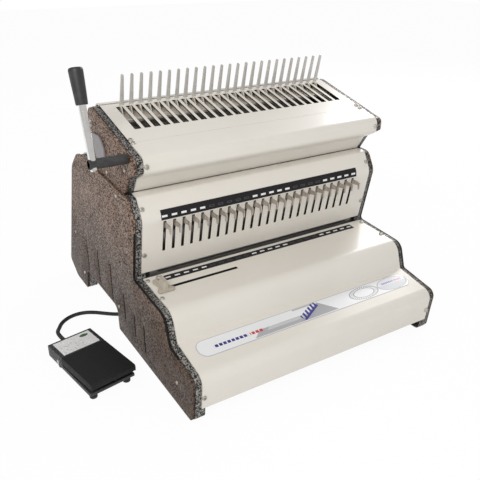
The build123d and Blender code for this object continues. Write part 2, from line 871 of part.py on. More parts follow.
with BuildPart() as top_rails:
    for side in SIDES.values():
        rail_plane = Plane(
            origin=slope_plane.from_local_coords((side * rail_x, -rail_start, -rail_depth)),
            x_dir=(1, 0, 0),
            z_dir=-slope_plane.y_dir,
        )
        with BuildSketch(rail_plane):
            Circle(rail_diameter / 2)
        extrude(amount=rail_end - rail_start)
        block_width = upper_frame_x - frame_sheet - rail_x + rail_diameter / 2
        for at in (0, rail_end - rail_start - rail_block):
            with BuildSketch(rail_plane.offset(at)):
                with Locations((side * (block_width / 2 - rail_diameter / 2), 0)):
                    Rectangle(block_width, rail_diameter + 2)
            extrude(amount=rail_block)
top_rails.part.label = "top_rails"
export_step(top_rails.part, "parts/top_rails.step")

# Middle carriage: a bar behind the middle cover with a hook through each slot
arm_top = mid_slot_start + 2.2
with BuildPart() as mid_carriage:
    with BuildSketch(Plane.YZ.offset(-mid_rail_x - 4)):
        with BuildLine():
            Polyline(
                on_mid(mid_bar_top, mid_bar_depth),
                on_mid(mid_bar_top, mid_bar_depth + mid_bar_thickness),
                on_mid(mid_bar_top + mid_bar_height, mid_bar_depth + mid_bar_thickness),
                on_mid(mid_bar_top + mid_bar_height, mid_bar_depth),
                close=True,
            )
        make_face()
    extrude(amount=2 * mid_rail_x + 8)
    for k in range(hook_count):
        start = hook_x(k) + mid_slot_width / 2 - 0.3 - hook_sheet
        root_y, root_z = on_mid(arm_top, mid_bar_depth + 1)
        low_y, low_z = on_mid(arm_top + mid_arm_height, mid_bar_depth + 1)
        face_y, face_z = on_mid(arm_top, 0)
        tip_y = face_y - mid_arm_reach
        with BuildSketch(Plane.YZ.offset(start)):
            rounded_face(
                [
                    (root_y, root_z, 0),
                    (tip_y, face_z, 2.2),
                    (tip_y + 1.2, face_z - mid_hook_drop, 0.8),
                    (tip_y + 3.4, face_z - mid_hook_drop + 0.6, 0.8),
                    (tip_y + 3.6, face_z - 4.6, 2),
                    (tip_y + 8.5, face_z - 5.4, 6),
                    (low_y, low_z, 0),
                ]
            )
        extrude(amount=hook_sheet)
    for side in SIDES.values():
        rail_at = on_mid(mid_bar_top - 1, mid_bar_depth + mid_bar_thickness / 2)
        bore_plane = Plane(
            origin=(side * mid_rail_x, *rail_at), x_dir=(1, 0, 0), z_dir=(0, mid_down[0], mid_down[1])
        )
        with BuildSketch(bore_plane):
            Circle(mid_rail_diameter / 2 + running_gap)
        extrude(amount=mid_bar_height + 2, mode=Mode.SUBTRACT)
mid_carriage.part.label = "mid_carriage"
export_step(mid_carriage.part, "parts/mid_carriage.step")

with BuildPart() as mid_rails:
    for side in SIDES.values():
        rail_at = on_mid(mid_bar_top - 3.5, mid_bar_depth + mid_bar_thickness / 2)
        length = mid_bar_height + mid_travel + 7
        rail_plane = Plane(
            origin=(side * mid_rail_x, *rail_at), x_dir=(1, 0, 0), z_dir=(0, mid_down[0], mid_down[1])
        )
        with BuildSketch(rail_plane):
            Circle(mid_rail_diameter / 2)
        extrude(amount=length)
        block_width = lower_frame_x - frame_sheet - mid_rail_x + 3
        for at in (-1, length - 2):
            with BuildSketch(rail_plane.offset(at)):
                with Locations((side * (block_width / 2 - 3), 0)):
                    Rectangle(block_width, mid_bar_thickness)
            extrude(amount=3)
mid_rails.part.label = "mid_rails"
export_step(mid_rails.part, "parts/mid_rails.step")

# Printed strips and label, each a thin plate on its face
with BuildPart() as table_strip:
    with BuildSketch(table_plane):
        with Locations((0, table_strip_centre - table_rear[0])):
            Rectangle(2 * strip_half_length, table_strip_width)
    extrude(amount=strip_thickness)
table_strip.part.label = "table_strip"
export_step(table_strip.part, "parts/table_strip.step")

with BuildPart() as mid_strip:
    with BuildSketch(Plane.YZ.offset(-strip_half_length)):
        outer = [(*mid_top, 0), (*mid_shoulder, mid_shoulder_radius), (*mid_nose, mid_nose_radius), (*mid_foot, 0)]
        raised = [shifted(a, b, -strip_thickness - film_gap) for a, b in zip(outer, outer[1:])]
        corner_1 = line_meet(*raised[0], *raised[1])
        corner_2 = line_meet(*raised[1], *raised[2])
        rounded_face(
            sheet_outline(
                [
                    (*raised[0][0], 0),
                    (*corner_1, mid_shoulder_radius + strip_thickness + film_gap),
                    (*corner_2, mid_nose_radius + strip_thickness + film_gap),
                    (*raised[2][1], 0),
                ],
                strip_thickness,
            )
        )
        with Locations((mid_zero[0], mid_zero[1] + 0.5 + mid_strip_height / 2)):
            Rectangle(40, mid_strip_height, mode=Mode.INTERSECT)
    extrude(amount=2 * strip_half_length)
mid_strip.part.label = "mid_strip"
export_step(mid_strip.part, "parts/mid_strip.step")

with BuildPart() as control_label:
    with BuildSketch(label_plane):
        with Locations(((label_left + label_right) / 2, -label_start - label_height / 2)):
            RectangleRounded(label_right - label_left, label_height, label_corner_radius)
    extrude(amount=strip_thickness)
control_label.part.label = "control_label"
export_step(control_label.part, "parts/control_label.step")

# Side guide: a foot on the table, a fence and a stem through the slot
guide_lift = strip_thickness + joint_gap
guide_plane = table_plane.offset(guide_lift)
stem_x = guide_slot_left + guide_slot_width / 2 + 4
stem_length = guide_lift + cover_sheet + joint_gap
with BuildPart() as side_guide:
    centre = (guide_x, guide_slot_y + 4.8 - table_rear[0])
    wide, waist, tail, reach = guide_width / 2, guide_waist / 2, guide_tail / 2, guide_depth / 2
    half_outline = [(wide, -reach, 3), (wide, -reach + 5, 3), (waist, -3, 5), (waist, 3, 5), (tail, 10, 3), (tail, reach, 3)]
    outline = half_outline + [(-x, y, radius) for x, y, radius in half_outline[::-1]]
    with BuildSketch(guide_plane):
        rounded_face([(centre[0] + x, centre[1] + y, radius) for x, y, radius in outline])
    extrude(amount=guide_base)
    with BuildSketch(guide_plane.offset(guide_base)):
        with Locations((centre[0], centre[1] - guide_rib_back)):
            RectangleRounded(guide_rib_width, guide_rib_length, 3)
    extrude(amount=guide_height - guide_base, taper=10)
    with BuildSketch(guide_plane):
        with Locations((centre[0], centre[1] + guide_boss_y)):
            Circle(guide_boss_diameter / 2)
    extrude(amount=guide_boss_height)
    with BuildSketch(guide_plane):
        with Locations((stem_x, guide_slot_y - table_rear[0])):
            Circle(guide_stem / 2)
    extrude(amount=-stem_length)
    with BuildSketch(guide_plane.offset(-stem_length)):
        with Locations((stem_x, guide_slot_y - table_rear[0])):
            Circle(guide_stem + 0.6)
    extrude(amount=-2)
side_guide.part.label = "side_guide"
export_step(side_guide.part, "parts/side_guide.step")

knob_plane = guide_plane.offset(guide_boss_height + joint_gap)
knob_place = (centre[0], centre[1] + guide_boss_y)
with BuildPart() as guide_knob:
    with BuildSketch(knob_plane):
        with Locations(knob_place):
            Circle(knob_boss_diameter / 2)
    extrude(amount=knob_boss_height)
    with BuildSketch(knob_plane.offset(knob_boss_height)):
        with Locations(knob_place):
            Circle(knob_diameter / 2)
    extrude(amount=knob_height)
    with BuildSketch(knob_plane.offset(knob_boss_height + knob_height)):
        with Locations(knob_place):
            Rectangle(knob_diameter, knob_slot_width)
    extrude(amount=-knob_slot_depth, mode=Mode.SUBTRACT)
guide_knob.part.label = "guide_knob"
export_step(guide_knob.part, "parts/guide_knob.step")

# Lever: shaft with its hub, rod, grip, bushes and the stop plate behind it
lever_tilt = (0, sin(radians(lever_lean)), cos(radians(lever_lean)))
rod_plane = Plane(origin=(rod_x, hub_y, hub_z), x_dir=(1, 0, 0), z_dir=lever_tilt)
shaft_end = upper_frame_x + 1
with BuildPart() as lever_shaft:
    with BuildSketch(Plane.YZ.offset(hub_end)):
        with Locations((hub_y, hub_z)):
            Circle(hub_diameter / 2)
    extrude(amount=-hub_end - upper_casing_x - joint_gap)
    chamfer(lever_shaft.edges().sort_by(Axis.X)[0], 1)
    with BuildSketch(Plane.YZ.offset(hub_end + 4)):
        with Locations((hub_y, hub_z)):
            Circle(shaft_diameter / 2)
    extrude(amount=shaft_end - hub_end - 4)
    for side in SIDES.values():
        with BuildSketch(Plane.YZ.offset(side * arm_x - arm_sheet / 2)):
            arm_way = (cos(radians(arm_droop)), -sin(radians(arm_droop)))
            with Locations((hub_y + arm_way[0] * arm_length / 2, hub_z + arm_way[1] * arm_length / 2)):
                SlotOverall(arm_length + shaft_diameter, shaft_diameter, rotation=-arm_droop)
        extrude(amount=arm_sheet)
    with BuildSketch(rod_plane.offset(-rod_tip - 5)):
        Circle(rod_diameter / 2)
    extrude(amount=2 * rod_tip + 10, mode=Mode.SUBTRACT)
lever_shaft.part.label = "lever_shaft"
export_step(lever_shaft.part, "parts/lever_shaft.step")

with BuildPart() as lever_rod:
    with BuildSketch(rod_plane.offset(-rod_tip)):
        Circle(rod_diameter / 2)
    extrude(amount=rod_tip + rod_length + grip_bore_depth)
    chamfer(lever_rod.edges().group_by(Axis.Z)[0], 1.5)
lever_rod.part.label = "lever_rod"
export_step(lever_rod.part, "parts/lever_rod.step")

grip_plane = Plane(origin=(rod_x, hub_y, hub_z), x_dir=lever_tilt, z_dir=(1, 0, 0))
with BuildPart() as lever_grip:
    with BuildSketch(grip_plane):
        foot, head = grip_foot_diameter / 2, grip_head_diameter / 2
        with BuildLine():
            Polyline((rod_length + grip_length - head, head), (rod_length + 1.5, foot), (rod_length, foot - 1.5))
            Line((rod_length, foot - 1.5), (rod_length, 0))
            Line((rod_length, 0), (rod_length + grip_length, 0))
            RadiusArc((rod_length + grip_length, 0), (rod_length + grip_length - head, head), -head)
        make_face()
    revolve(axis=Axis((rod_x, hub_y, hub_z), lever_tilt))
    with BuildSketch(rod_plane.offset(rod_length - 1)):
        Circle(rod_diameter / 2)
    extrude(amount=grip_bore_depth + 1, mode=Mode.SUBTRACT)
lever_grip.part.label = "lever_grip"
export_step(lever_grip.part, "parts/lever_grip.step")

with BuildPart() as shaft_bushes:
    for side in SIDES.values():
        with BuildSketch(Plane.YZ.offset(side * (upper_frame_x + 0.1))):
            with Locations((hub_y, hub_z)):
                Circle(bush_diameter / 2)
                Circle(shaft_diameter / 2 + running_gap, mode=Mode.SUBTRACT)
        extrude(amount=-side * (frame_sheet + 4))
shaft_bushes.part.label = "shaft_bushes"
export_step(shaft_bushes.part, "parts/shaft_bushes.step")

with BuildPart() as stop_plate:
    with BuildSketch(Plane.YZ.offset(-upper_casing_x)):
        rounded_face(stop_plate_corners)
    extrude(amount=-stop_plate_sheet)
stop_plate.part.label = "stop_plate"
export_step(stop_plate.part, "parts/stop_plate.step")

# Punching unit
punch_places = [(hook_x(k), punch_y) for k in range(hook_count)]
with BuildPart() as die_plate:
    with BuildSketch(Plane.XY.offset(die_top - die_thickness)):
        with Locations((0, die_front + die_depth / 2)):
            Rectangle(2 * die_half_length, die_depth)
    extrude(amount=die_thickness)
    for side in SIDES.values():
        with BuildSketch(Plane.XY.offset(die_top - die_thickness)):
            span = lower_frame_x - frame_sheet - die_half_length + tab_root
            with Locations((side * (die_half_length - tab_root + span / 2), tab_start + tab_depth / 2)):
                Rectangle(span, tab_depth)
        extrude(amount=die_thickness - tab_step)
        with BuildSketch(Plane.XY.offset(die_top)):
            with Locations((side * column_x, die_front + die_depth / 2)):
                Rectangle(2 * (die_half_length - column_x), die_depth)
        extrude(amount=paper_gap)
    with BuildSketch(Plane.XY.offset(die_top)):
        with Locations(*punch_places):
            Rectangle(punch_width + 2 * punch_clearance, punch_depth + 2 * punch_clearance)
    extrude(amount=-die_thickness, mode=Mode.SUBTRACT)
die_plate.part.label = "die_plate"
export_step(die_plate.part, "parts/die_plate.step")

stripper_foot = die_top + paper_gap
with BuildPart() as stripper_plate:
    with BuildSketch(Plane.XY.offset(stripper_foot)):
        with Locations((0, die_front + die_depth / 2)):
            Rectangle(2 * die_half_length, die_depth)
        with Locations(*punch_places):
            Rectangle(
                punch_width + 2 * punch_clearance, punch_depth + 2 * punch_clearance, mode=Mode.SUBTRACT
            )
    extrude(amount=stripper_thickness)
stripper_plate.part.label = "stripper_plate"
export_step(stripper_plate.part, "parts/stripper_plate.step")

with BuildPart() as punches:
    with BuildSketch(Plane.XY.offset(stripper_foot + stripper_recess)):
        with Locations(*punch_places):
            Rectangle(punch_width, punch_depth)
    extrude(amount=bar_foot - stripper_foot - stripper_recess)
punches.part.label = "punches"
export_step(punches.part, "parts/punches.step")

column_places = [(side * column_x, punch_y + 4) for side in SIDES.values()]
with BuildPart() as punch_bar:
    with BuildSketch(Plane.XY.offset(bar_foot)):
        with Locations((0, bar_front + bar_depth / 2)):
            Rectangle(2 * die_half_length, bar_depth)
        with Locations(*column_places):
            Circle(column_diameter / 2 + running_gap, mode=Mode.SUBTRACT)
    extrude(amount=bar_height)
    with BuildSketch(Plane.XY.offset(bar_foot + bar_height)):
        with Locations(*[(side * cam_x, cam_y) for side in SIDES.values()]):
            Rectangle(cam_width + 2 * cam_pad_margin, cam_pad_depth)
    extrude(amount=cam_z - cam_radius - cam_throw - cam_gap - bar_foot - bar_height)
punch_bar.part.label = "punch_bar"
export_step(punch_bar.part, "parts/punch_bar.step")

with BuildPart() as guide_columns:
    with BuildSketch(Plane.XY.offset(stripper_foot + stripper_thickness)):
        with Locations(*column_places):
            Circle(column_diameter / 2)
    extrude(amount=column_top - stripper_foot - stripper_thickness)
guide_columns.part.label = "guide_columns"
export_step(guide_columns.part, "parts/guide_columns.step")

bearing_start = lower_frame_x - frame_sheet - 15
with BuildPart() as camshaft:
    with BuildSketch(Plane.YZ.offset(-bearing_start - 10)):
        with Locations((cam_y, cam_z)):
            Circle(camshaft_diameter / 2)
    extrude(amount=2 * (bearing_start + 10))
    for side in SIDES.values():
        with BuildSketch(Plane.YZ.offset(side * cam_x - cam_width / 2)):
            with Locations((cam_y, cam_z + cam_throw)):
                Circle(cam_radius)
        extrude(amount=cam_width)
camshaft.part.label = "camshaft"
export_step(camshaft.part, "parts/camshaft.step")

with BuildPart() as cam_pulley:
    with BuildSketch(Plane.YZ.offset(-pulley_width / 2)):
        with Locations((cam_y, cam_z)):
            Circle(pulley_radius)
            Circle(camshaft_diameter / 2, mode=Mode.SUBTRACT)
    extrude(amount=pulley_width)
cam_pulley.part.label = "cam_pulley"
export_step(cam_pulley.part, "parts/cam_pulley.step")

with BuildPart() as cam_bearings:
    for side in SIDES.values():
        with BuildSketch(Plane.YZ.offset(side * bearing_start)):
            with Locations((cam_y, cam_z)):
                RectangleRounded(bearing_width, bearing_width, 4)
                Circle(camshaft_diameter / 2 + running_gap, mode=Mode.SUBTRACT)
        extrude(amount=side * 15)
cam_bearings.part.label = "cam_bearings"
export_step(cam_bearings.part, "parts/cam_bearings.step")

motor_start = pulley_width / 2 + 1.5 + bracket_sheet
with BuildPart() as motor_pulley:
    with BuildSketch(Plane.YZ.offset(-pulley_width / 2)):
        with Locations((motor_y, motor_z)):
            Circle(motor_pulley_radius)
    extrude(amount=pulley_width)
    with BuildSketch(Plane.YZ.offset(pulley_width / 2)):
        with Locations((motor_y, motor_z)):
            Circle(motor_shaft_diameter / 2)
    extrude(amount=motor_start - pulley_width / 2 + 18)
motor_pulley.part.label = "motor_pulley"
export_step(motor_pulley.part, "parts/motor_pulley.step")

with BuildPart() as motor:
    with BuildSketch(Plane.YZ.offset(motor_start)):
        with Locations((motor_y, motor_z)):
            Circle(motor_diameter / 2)
    extrude(amount=motor_length)
    fillet(motor.edges().sort_by(Axis.X)[-1], 6)
    with BuildSketch(Plane.YZ.offset(motor_start)):
        with Locations((motor_y, motor_z)):
            Circle(motor_shaft_diameter / 2 + running_gap)
    extrude(amount=20, mode=Mode.SUBTRACT)
motor.part.label = "motor"
export_step(motor.part, "parts/motor.step")

with BuildPart() as motor_bracket:
    bracket_top = motor_z + motor_diameter / 2
    with BuildSketch(Plane.YZ.offset(motor_start)):
        with Locations((motor_y, (base_top + bracket_top) / 2)):
            Rectangle(bracket_width, bracket_top - base_top)
        with Locations((motor_y, motor_z)):
            Circle(motor_shaft_diameter / 2 + 2, mode=Mode.SUBTRACT)
    extrude(amount=-bracket_sheet)
    with BuildSketch(Plane.XY.offset(base_top)):
        with Locations((motor_start + bracket_foot / 2 - bracket_sheet, motor_y)):
            Rectangle(bracket_foot, bracket_width)
    extrude(amount=bracket_sheet)
motor_bracket.part.label = "motor_bracket"
export_step(motor_bracket.part, "parts/motor_bracket.step")


def belt_face(gap):
    """Adds the outline of the two pulleys, widened by gap, to the current sketch."""
    with BuildSketch(mode=Mode.PRIVATE) as rounds:
        with Locations((cam_y, cam_z)):
            Circle(pulley_radius + gap)
        with Locations((motor_y, motor_z)):
            Circle(motor_pulley_radius + gap)
    return make_hull(rounds.sketch.edges(), mode=Mode.PRIVATE)


with BuildPart() as drive_belt:
    with BuildSketch(Plane.YZ.offset(-belt_width / 2)):
        add(belt_face(belt_gap + belt_thickness))
        add(belt_face(belt_gap), mode=Mode.SUBTRACT)
    extrude(amount=belt_width)
drive_belt.part.label = "drive_belt"
export_step(drive_belt.part, "parts/drive_belt.step")

# Control board on four standoffs
with BuildPart() as control_board:
    with BuildSketch(Plane.XY.offset(base_top)):
        with Locations((board_x, board_y)):
            with GridLocations(board_length - 2 * standoff_diameter, board_width - 2 * standoff_diameter, 2, 2):
                Circle(standoff_diameter / 2)
    extrude(amount=standoff_height)
    with BuildSketch(Plane.XY.offset(base_top + standoff_height)):
        with Locations((board_x, board_y)):
            Rectangle(board_length, board_width)
    extrude(amount=board_sheet)
    with BuildSketch(Plane.XY.offset(base_top + standoff_height + board_sheet)):
        with Locations((board_x - board_length / 4, board_y + board_width * 0.15)):
            Rectangle(board_length * 0.35, board_width * 0.45)
        with Locations((board_x + board_length / 4, board_y + board_width * 0.22)):
            Rectangle(board_length * 0.3, board_width * 0.28)
    extrude(amount=board_block_height)
    with BuildSketch(Plane.XY.offset(base_top + standoff_height + board_sheet)):
        with Locations((board_x + board_length / 6, board_y - board_width / 4)):
            with GridLocations(4 * capacitor_radius, 3.5 * capacitor_radius, 4, 2):
                Circle(capacitor_radius)
    extrude(amount=capacitor_height)
control_board.part.label = "control_board"
export_step(control_board.part, "parts/control_board.step")

# Chip drawer under the die plate, pulled out to the right
with BuildPart() as chip_drawer:
    front_start = lower_casing_x - casing_depth
    with BuildSketch(Plane.XY.offset(drawer_foot)):
        with Locations(((drawer_left + front_start) / 2, drawer_y)):
            Rectangle(front_start - drawer_left, drawer_width)
    extrude(amount=drawer_height)
    with BuildSketch(Plane.XY.offset(drawer_foot + drawer_wall)):
        with Locations(((drawer_left + front_start) / 2, drawer_y)):
            Rectangle(front_start - drawer_left - 2 * drawer_wall, drawer_width - 2 * drawer_wall)
    extrude(amount=drawer_height, mode=Mode.SUBTRACT)
    with BuildSketch(Plane.YZ.offset(front_start)):
        with Locations(drawer_box):
            Rectangle(drawer_width, drawer_height)
        with Locations((drawer_y, drawer_foot + drawer_height)):
            Circle(finger_notch_radius, mode=Mode.SUBTRACT)
    extrude(amount=casing_depth)
    with BuildSketch(Plane.YZ.offset(front_start)):
        with Locations((drawer_y, drawer_foot + drawer_height)):
            Circle(finger_notch_radius)
    extrude(amount=-2 * drawer_wall, mode=Mode.SUBTRACT)
chip_drawer.part.label = "chip_drawer"
export_step(chip_drawer.part, "parts/chip_drawer.step")

# Mains inlet and rocker switch
with BuildPart() as power_inlet:
    with BuildSketch(back_plane(inlet_x, socket_height)):
        RectangleRounded(inlet_width, inlet_height, 3)
    extrude(amount=inlet_flange)
    with BuildSketch(back_plane(inlet_x, socket_height)):
        Rectangle(inlet_body_width, inlet_body_height)
    extrude(amount=-inlet_body_depth)
    with BuildSketch(back_plane(inlet_x, socket_height).offset(inlet_flange)):
        Rectangle(inlet_cavity_width, inlet_cavity_height)
    extrude(amount=-inlet_cavity_depth, mode=Mode.SUBTRACT)
    with BuildSketch(back_plane(inlet_x, socket_height).offset(inlet_flange - inlet_cavity_depth)):
        with Locations((-7, -1.5), (7, -1.5), (0, 2.5)):
            Rectangle(2, 4)
    extrude(amount=blade_length)
power_inlet.part.label = "power_inlet"
export_step(power_inlet.part, "parts/power_inlet.step")

with BuildPart() as switch_housing:
    with BuildSketch(back_plane(switch_x, socket_height)):
        RectangleRounded(switch_flange_width, switch_flange_height, 1.5)
    extrude(amount=inlet_flange)
    with BuildSketch(back_plane(switch_x, socket_height)):
        Rectangle(switch_body_width, switch_body_height)
    extrude(amount=-switch_depth)
    with BuildSketch(back_plane(switch_x, socket_height).offset(inlet_flange)):
        Rectangle(rocker_width + 2 * joint_gap, rocker_cavity_height)
    extrude(amount=-inlet_flange - 8, mode=Mode.SUBTRACT)
switch_housing.part.label = "switch_housing"
export_step(switch_housing.part, "parts/switch_housing.step")

rocker_origin = back_plane(switch_x, socket_height)
tilt = radians(rocker_tilt)
rocker_plane = Plane(
    origin=rocker_origin.origin - rocker_origin.x_dir * (rocker_width / 2),
    x_dir=rocker_origin.y_dir * cos(tilt) + rocker_origin.z_dir * sin(tilt),
    z_dir=rocker_origin.x_dir,
)
with BuildPart() as rocker:
    with BuildSketch(rocker_plane):
        half = rocker_height / 2
        rounded_face([(-half, -1, 1), (half, -1, 1), (half, 4.5, 1), (0, 2.6, 8), (-half, 4.5, 1)])
        Circle(rocker_barrel_diameter / 2)
    extrude(amount=rocker_width)
rocker.part.label = "rocker"
export_step(rocker.part, "parts/rocker.step")

# Screws: those of the covers and those of the casings
with BuildPart() as cover_screws:
    with BuildSketch(*cover_screw_planes):
        Circle(screw_head_diameter / 2)
    extrude(amount=screw_head_height)
    with BuildSketch(*cover_screw_planes):
        Circle(screw_shank_diameter / 2)
    extrude(amount=-screw_length)
cover_screws.part.label = "cover_screws"
export_step(cover_screws.part, "parts/cover_screws.step")

with BuildPart() as casing_screws:
    for side in SIDES.values():
        for x, places in ((lower_casing_x, lower_casing_screws), (upper_casing_x, upper_casing_screws)):
            with BuildSketch(Plane.YZ.offset(side * x)):
                with Locations(*places):
                    Circle(casing_head_diameter / 2)
            extrude(amount=side * screw_head_height)
            with BuildSketch(Plane.YZ.offset(side * x)):
                with Locations(*places):
                    Circle(screw_shank_diameter / 2)
            extrude(amount=-side * (casing_depth + strip_gap + frame_sheet + 1))
casing_screws.part.label = "casing_screws"
export_step(casing_screws.part, "parts/casing_screws.step")

# Pedal, drawn on planes turned with it
pedal_x = (cos(radians(pedal_turn)), sin(radians(pedal_turn)), 0)
pedal_front = (sin(radians(pedal_turn)), -cos(radians(pedal_turn)), 0)


def pedal_plane(z):
    """Plane at height z with x along the pedal's rear edge and y towards its rear."""
    return Plane(origin=(*pedal_corner, z), x_dir=pedal_x, z_dir=(0, 0, 1))


def pedal_side(x):
    """Plane across the pedal at x from its left edge, with its x to the front and its y up."""
    origin = pedal_plane(0).from_local_coords((x, 0, 0))
    return Plane(origin=origin, x_dir=pedal_front, z_dir=(-pedal_x[0], -pedal_x[1], 0))


pocket_rear, pocket_front = pin_y - 9, pedal_rear_block + 1
pocket_foot, pocket_top = pedal_tray_height - 4, pedal_rear_height - pedal_wall
ear_places = (ear_inset, pedal_width - ear_inset - ear_width)
with BuildPart() as pedal_base:
    with BuildSketch(pedal_side(0)):
        rounded_face(
            [
                (0, pedal_foot_height, 1.5),
                (pedal_tray_length, pedal_foot_height, 2),
                (pedal_tray_length, pedal_tray_height, 1),
                (pedal_rear_block, pedal_tray_height, 0),
                (pedal_rear_block, pedal_rear_height + 1, 1),
                (0, pedal_rear_height, 2),
            ]
        )
    extrude(amount=-pedal_width)
    with BuildSketch(pedal_side(pedal_wall)):
        with Locations(((pocket_rear + pocket_front) / 2, (pocket_foot + pocket_top) / 2)):
            Rectangle(pocket_front - pocket_rear, pocket_top - pocket_foot)
    extrude(amount=-pedal_width + 2 * pedal_wall, mode=Mode.SUBTRACT)
    with BuildSketch(pedal_side(0)):
        with Locations((pin_y, pin_z)):
            Circle(pin_diameter / 2)
    extrude(amount=-pedal_width, mode=Mode.SUBTRACT)
pedal_base.part.label = "pedal_base"
export_step(pedal_base.part, "parts/pedal_base.step")

flap_rear = pedal_rear_block + flap_gap
flap_foot = pedal_front_height - flap_lip
with BuildPart() as pedal_flap:
    with BuildSketch(pedal_side(0)):
        rounded_face(
            [
                (flap_rear, pedal_rear_height - flap_sheet, 0.5),
                (pedal_length - 4, pedal_front_height - flap_sheet, 1),
                (pedal_length - 4, flap_foot, 0.5),
                (pedal_length, flap_foot, 0.5),
                (pedal_length, pedal_front_height, 3),
                (flap_rear, pedal_rear_height + 1, 1),
            ]
        )
    extrude(amount=-pedal_width)
    for x in (0, pedal_width - flap_skirt_sheet):
        with BuildSketch(pedal_side(x)):
            rounded_face(
                [
                    (flap_rear, pedal_tray_height + flap_skirt_gap, 1),
                    (pedal_length - 1, flap_foot, 0),
                    (pedal_length - 1, pedal_front_height - flap_sheet / 2, 0),
                    (flap_rear, pedal_rear_height - flap_sheet / 2, 0),
                ]
            )
        extrude(amount=-flap_skirt_sheet)
    for x in ear_places:
        with BuildSketch(pedal_side(x)):
            rounded_face(
                [
                    (pin_y - 4, pin_z - 4, 3.5),
                    (pin_y + 4, pin_z - 4, 3),
                    (flap_rear + 12, pedal_rear_height - flap_sheet - 2, 0),
                    (flap_rear + 12, pedal_rear_height - flap_sheet + 1.5, 0),
                    (flap_rear, pedal_rear_height - flap_sheet + 1, 0),
                    (pin_y - 4, pin_z + 4, 3.5),
                ]
            )
        extrude(amount=-ear_width)
    with BuildSketch(pedal_side(0)):
        with Locations((pin_y, pin_z)):
            Circle(pin_diameter / 2 + running_gap)
    extrude(amount=-pedal_width, mode=Mode.SUBTRACT)
pedal_flap.part.label = "pedal_flap"
export_step(pedal_flap.part, "parts/pedal_flap.step")

with BuildPart() as pedal_pin:
    with BuildSketch(pedal_side(0)):
        with Locations((pin_y, pin_z)):
            Circle(pin_diameter / 2)
    extrude(amount=-pedal_width)
    with BuildSketch(pedal_side(0)):
        with Locations((pin_y, pin_z)):
            Circle(pin_diameter / 2 + 1.2)
    extrude(amount=1.6)
pedal_pin.part.label = "pedal_pin"
export_step(pedal_pin.part, "parts/pedal_pin.step")

with BuildPart() as pedal_feet:
    with BuildSketch(pedal_plane(0)):
        with Locations(*[(x, -y) for x in (foot_inset, pedal_width - foot_inset) for y in pedal_feet_y]):
            Circle(foot_diameter / 2)
    extrude(amount=pedal_foot_height)
pedal_feet.part.label = "pedal_feet"
export_step(pedal_feet.part, "parts/pedal_feet.step")

label_tilt = atan2(1.0, pedal_rear_block)
with BuildPart() as pedal_label:
    origin = pedal_side(0).from_local_coords((0, pedal_rear_height, 0))
    up = Vector(0, 0, cos(label_tilt)) - Vector(*pedal_front) * sin(label_tilt)
    with BuildSketch(Plane(origin=origin, x_dir=pedal_x, z_dir=up)):
        with Locations((pedal_width / 2, -pedal_rear_block / 2 - 1)):
            Rectangle(pedal_width - 2 * pedal_label_inset, pedal_rear_block - pedal_label_inset - 2)
    extrude(amount=strip_thickness)
pedal_label.part.label = "pedal_label"
export_step(pedal_label.part, "parts/pedal_label.step")

with BuildPart() as pedal_switch:
    with BuildSketch(pedal_plane(pedal_tray_height)):
        with Locations((pedal_width / 2, -pedal_rear_block - 20)):
            Rectangle(20, 8)
    extrude(amount=4)
pedal_switch.part.label = "pedal_switch"
export_step(pedal_switch.part, "parts/pedal_switch.step")

gland_plane = Plane(
    origin=pedal_plane(0).from_local_coords((gland_x, 0, gland_z)),
    x_dir=pedal_x,
    z_dir=(-pedal_front[0], -pedal_front[1], 0),
)
with BuildPart() as pedal_gland:
    with BuildSketch(gland_plane):
        Circle(gland_diameter / 2)
    with BuildSketch(gland_plane.offset(gland_length)):
        Circle(cord_diameter / 2 + 0.6)
    loft()
pedal_gland.part.label = "pedal_gland"
export_step(pedal_gland.part, "parts/pedal_gland.step")

with BuildPart() as machine_gland:
    with BuildSketch(Plane.XY.offset(machine_gland_z)):
        with Locations((tail_x, tail_y)):
            Circle(machine_gland_diameter / 2)
    extrude(amount=base_foot - machine_gland_z)
    with BuildSketch(Plane.XY.offset(base_foot)):
        with Locations((tail_x, tail_y)):
            Circle(machine_gland_diameter / 2 - 2)
    extrude(amount=base_sheet)
    with BuildSketch(Plane.XY.offset(base_top)):
        with Locations((tail_x, tail_y)):
            RegularPolygon(machine_gland_diameter / 2, 6)
    extrude(amount=4)
machine_gland.part.label = "machine_gland"
export_step(machine_gland.part, "parts/machine_gland.step")


def route_radii(points):
    """Radius of the arc at each inner point: 0.45 of the shorter run over the tangent of half the turn."""
    radii = []
    for before, here, after in zip(points, points[1:], points[2:]):
        run_in, run_out = Vector(*here) - Vector(*before), Vector(*after) - Vector(*here)
        turn = radians(run_in.get_angle(run_out))
        radii.append(0.45 * min(run_in.length, run_out.length) / tan(turn / 2))
    return radii


def cord_section(path):
    """The cord's round section at the start of a path."""
    with BuildSketch(Plane(origin=path @ 0, z_dir=path % 0)) as section:
        Circle(cord_diameter / 2)
    return section.sketch


def print_cord(name, solid, length, radii):
    print(name, "length", round(length, 1), "radii", [round(r) for r in radii])
    print(name, "volume", round(solid.volume), "section x length", round(pi * cord_diameter**2 / 4 * length))


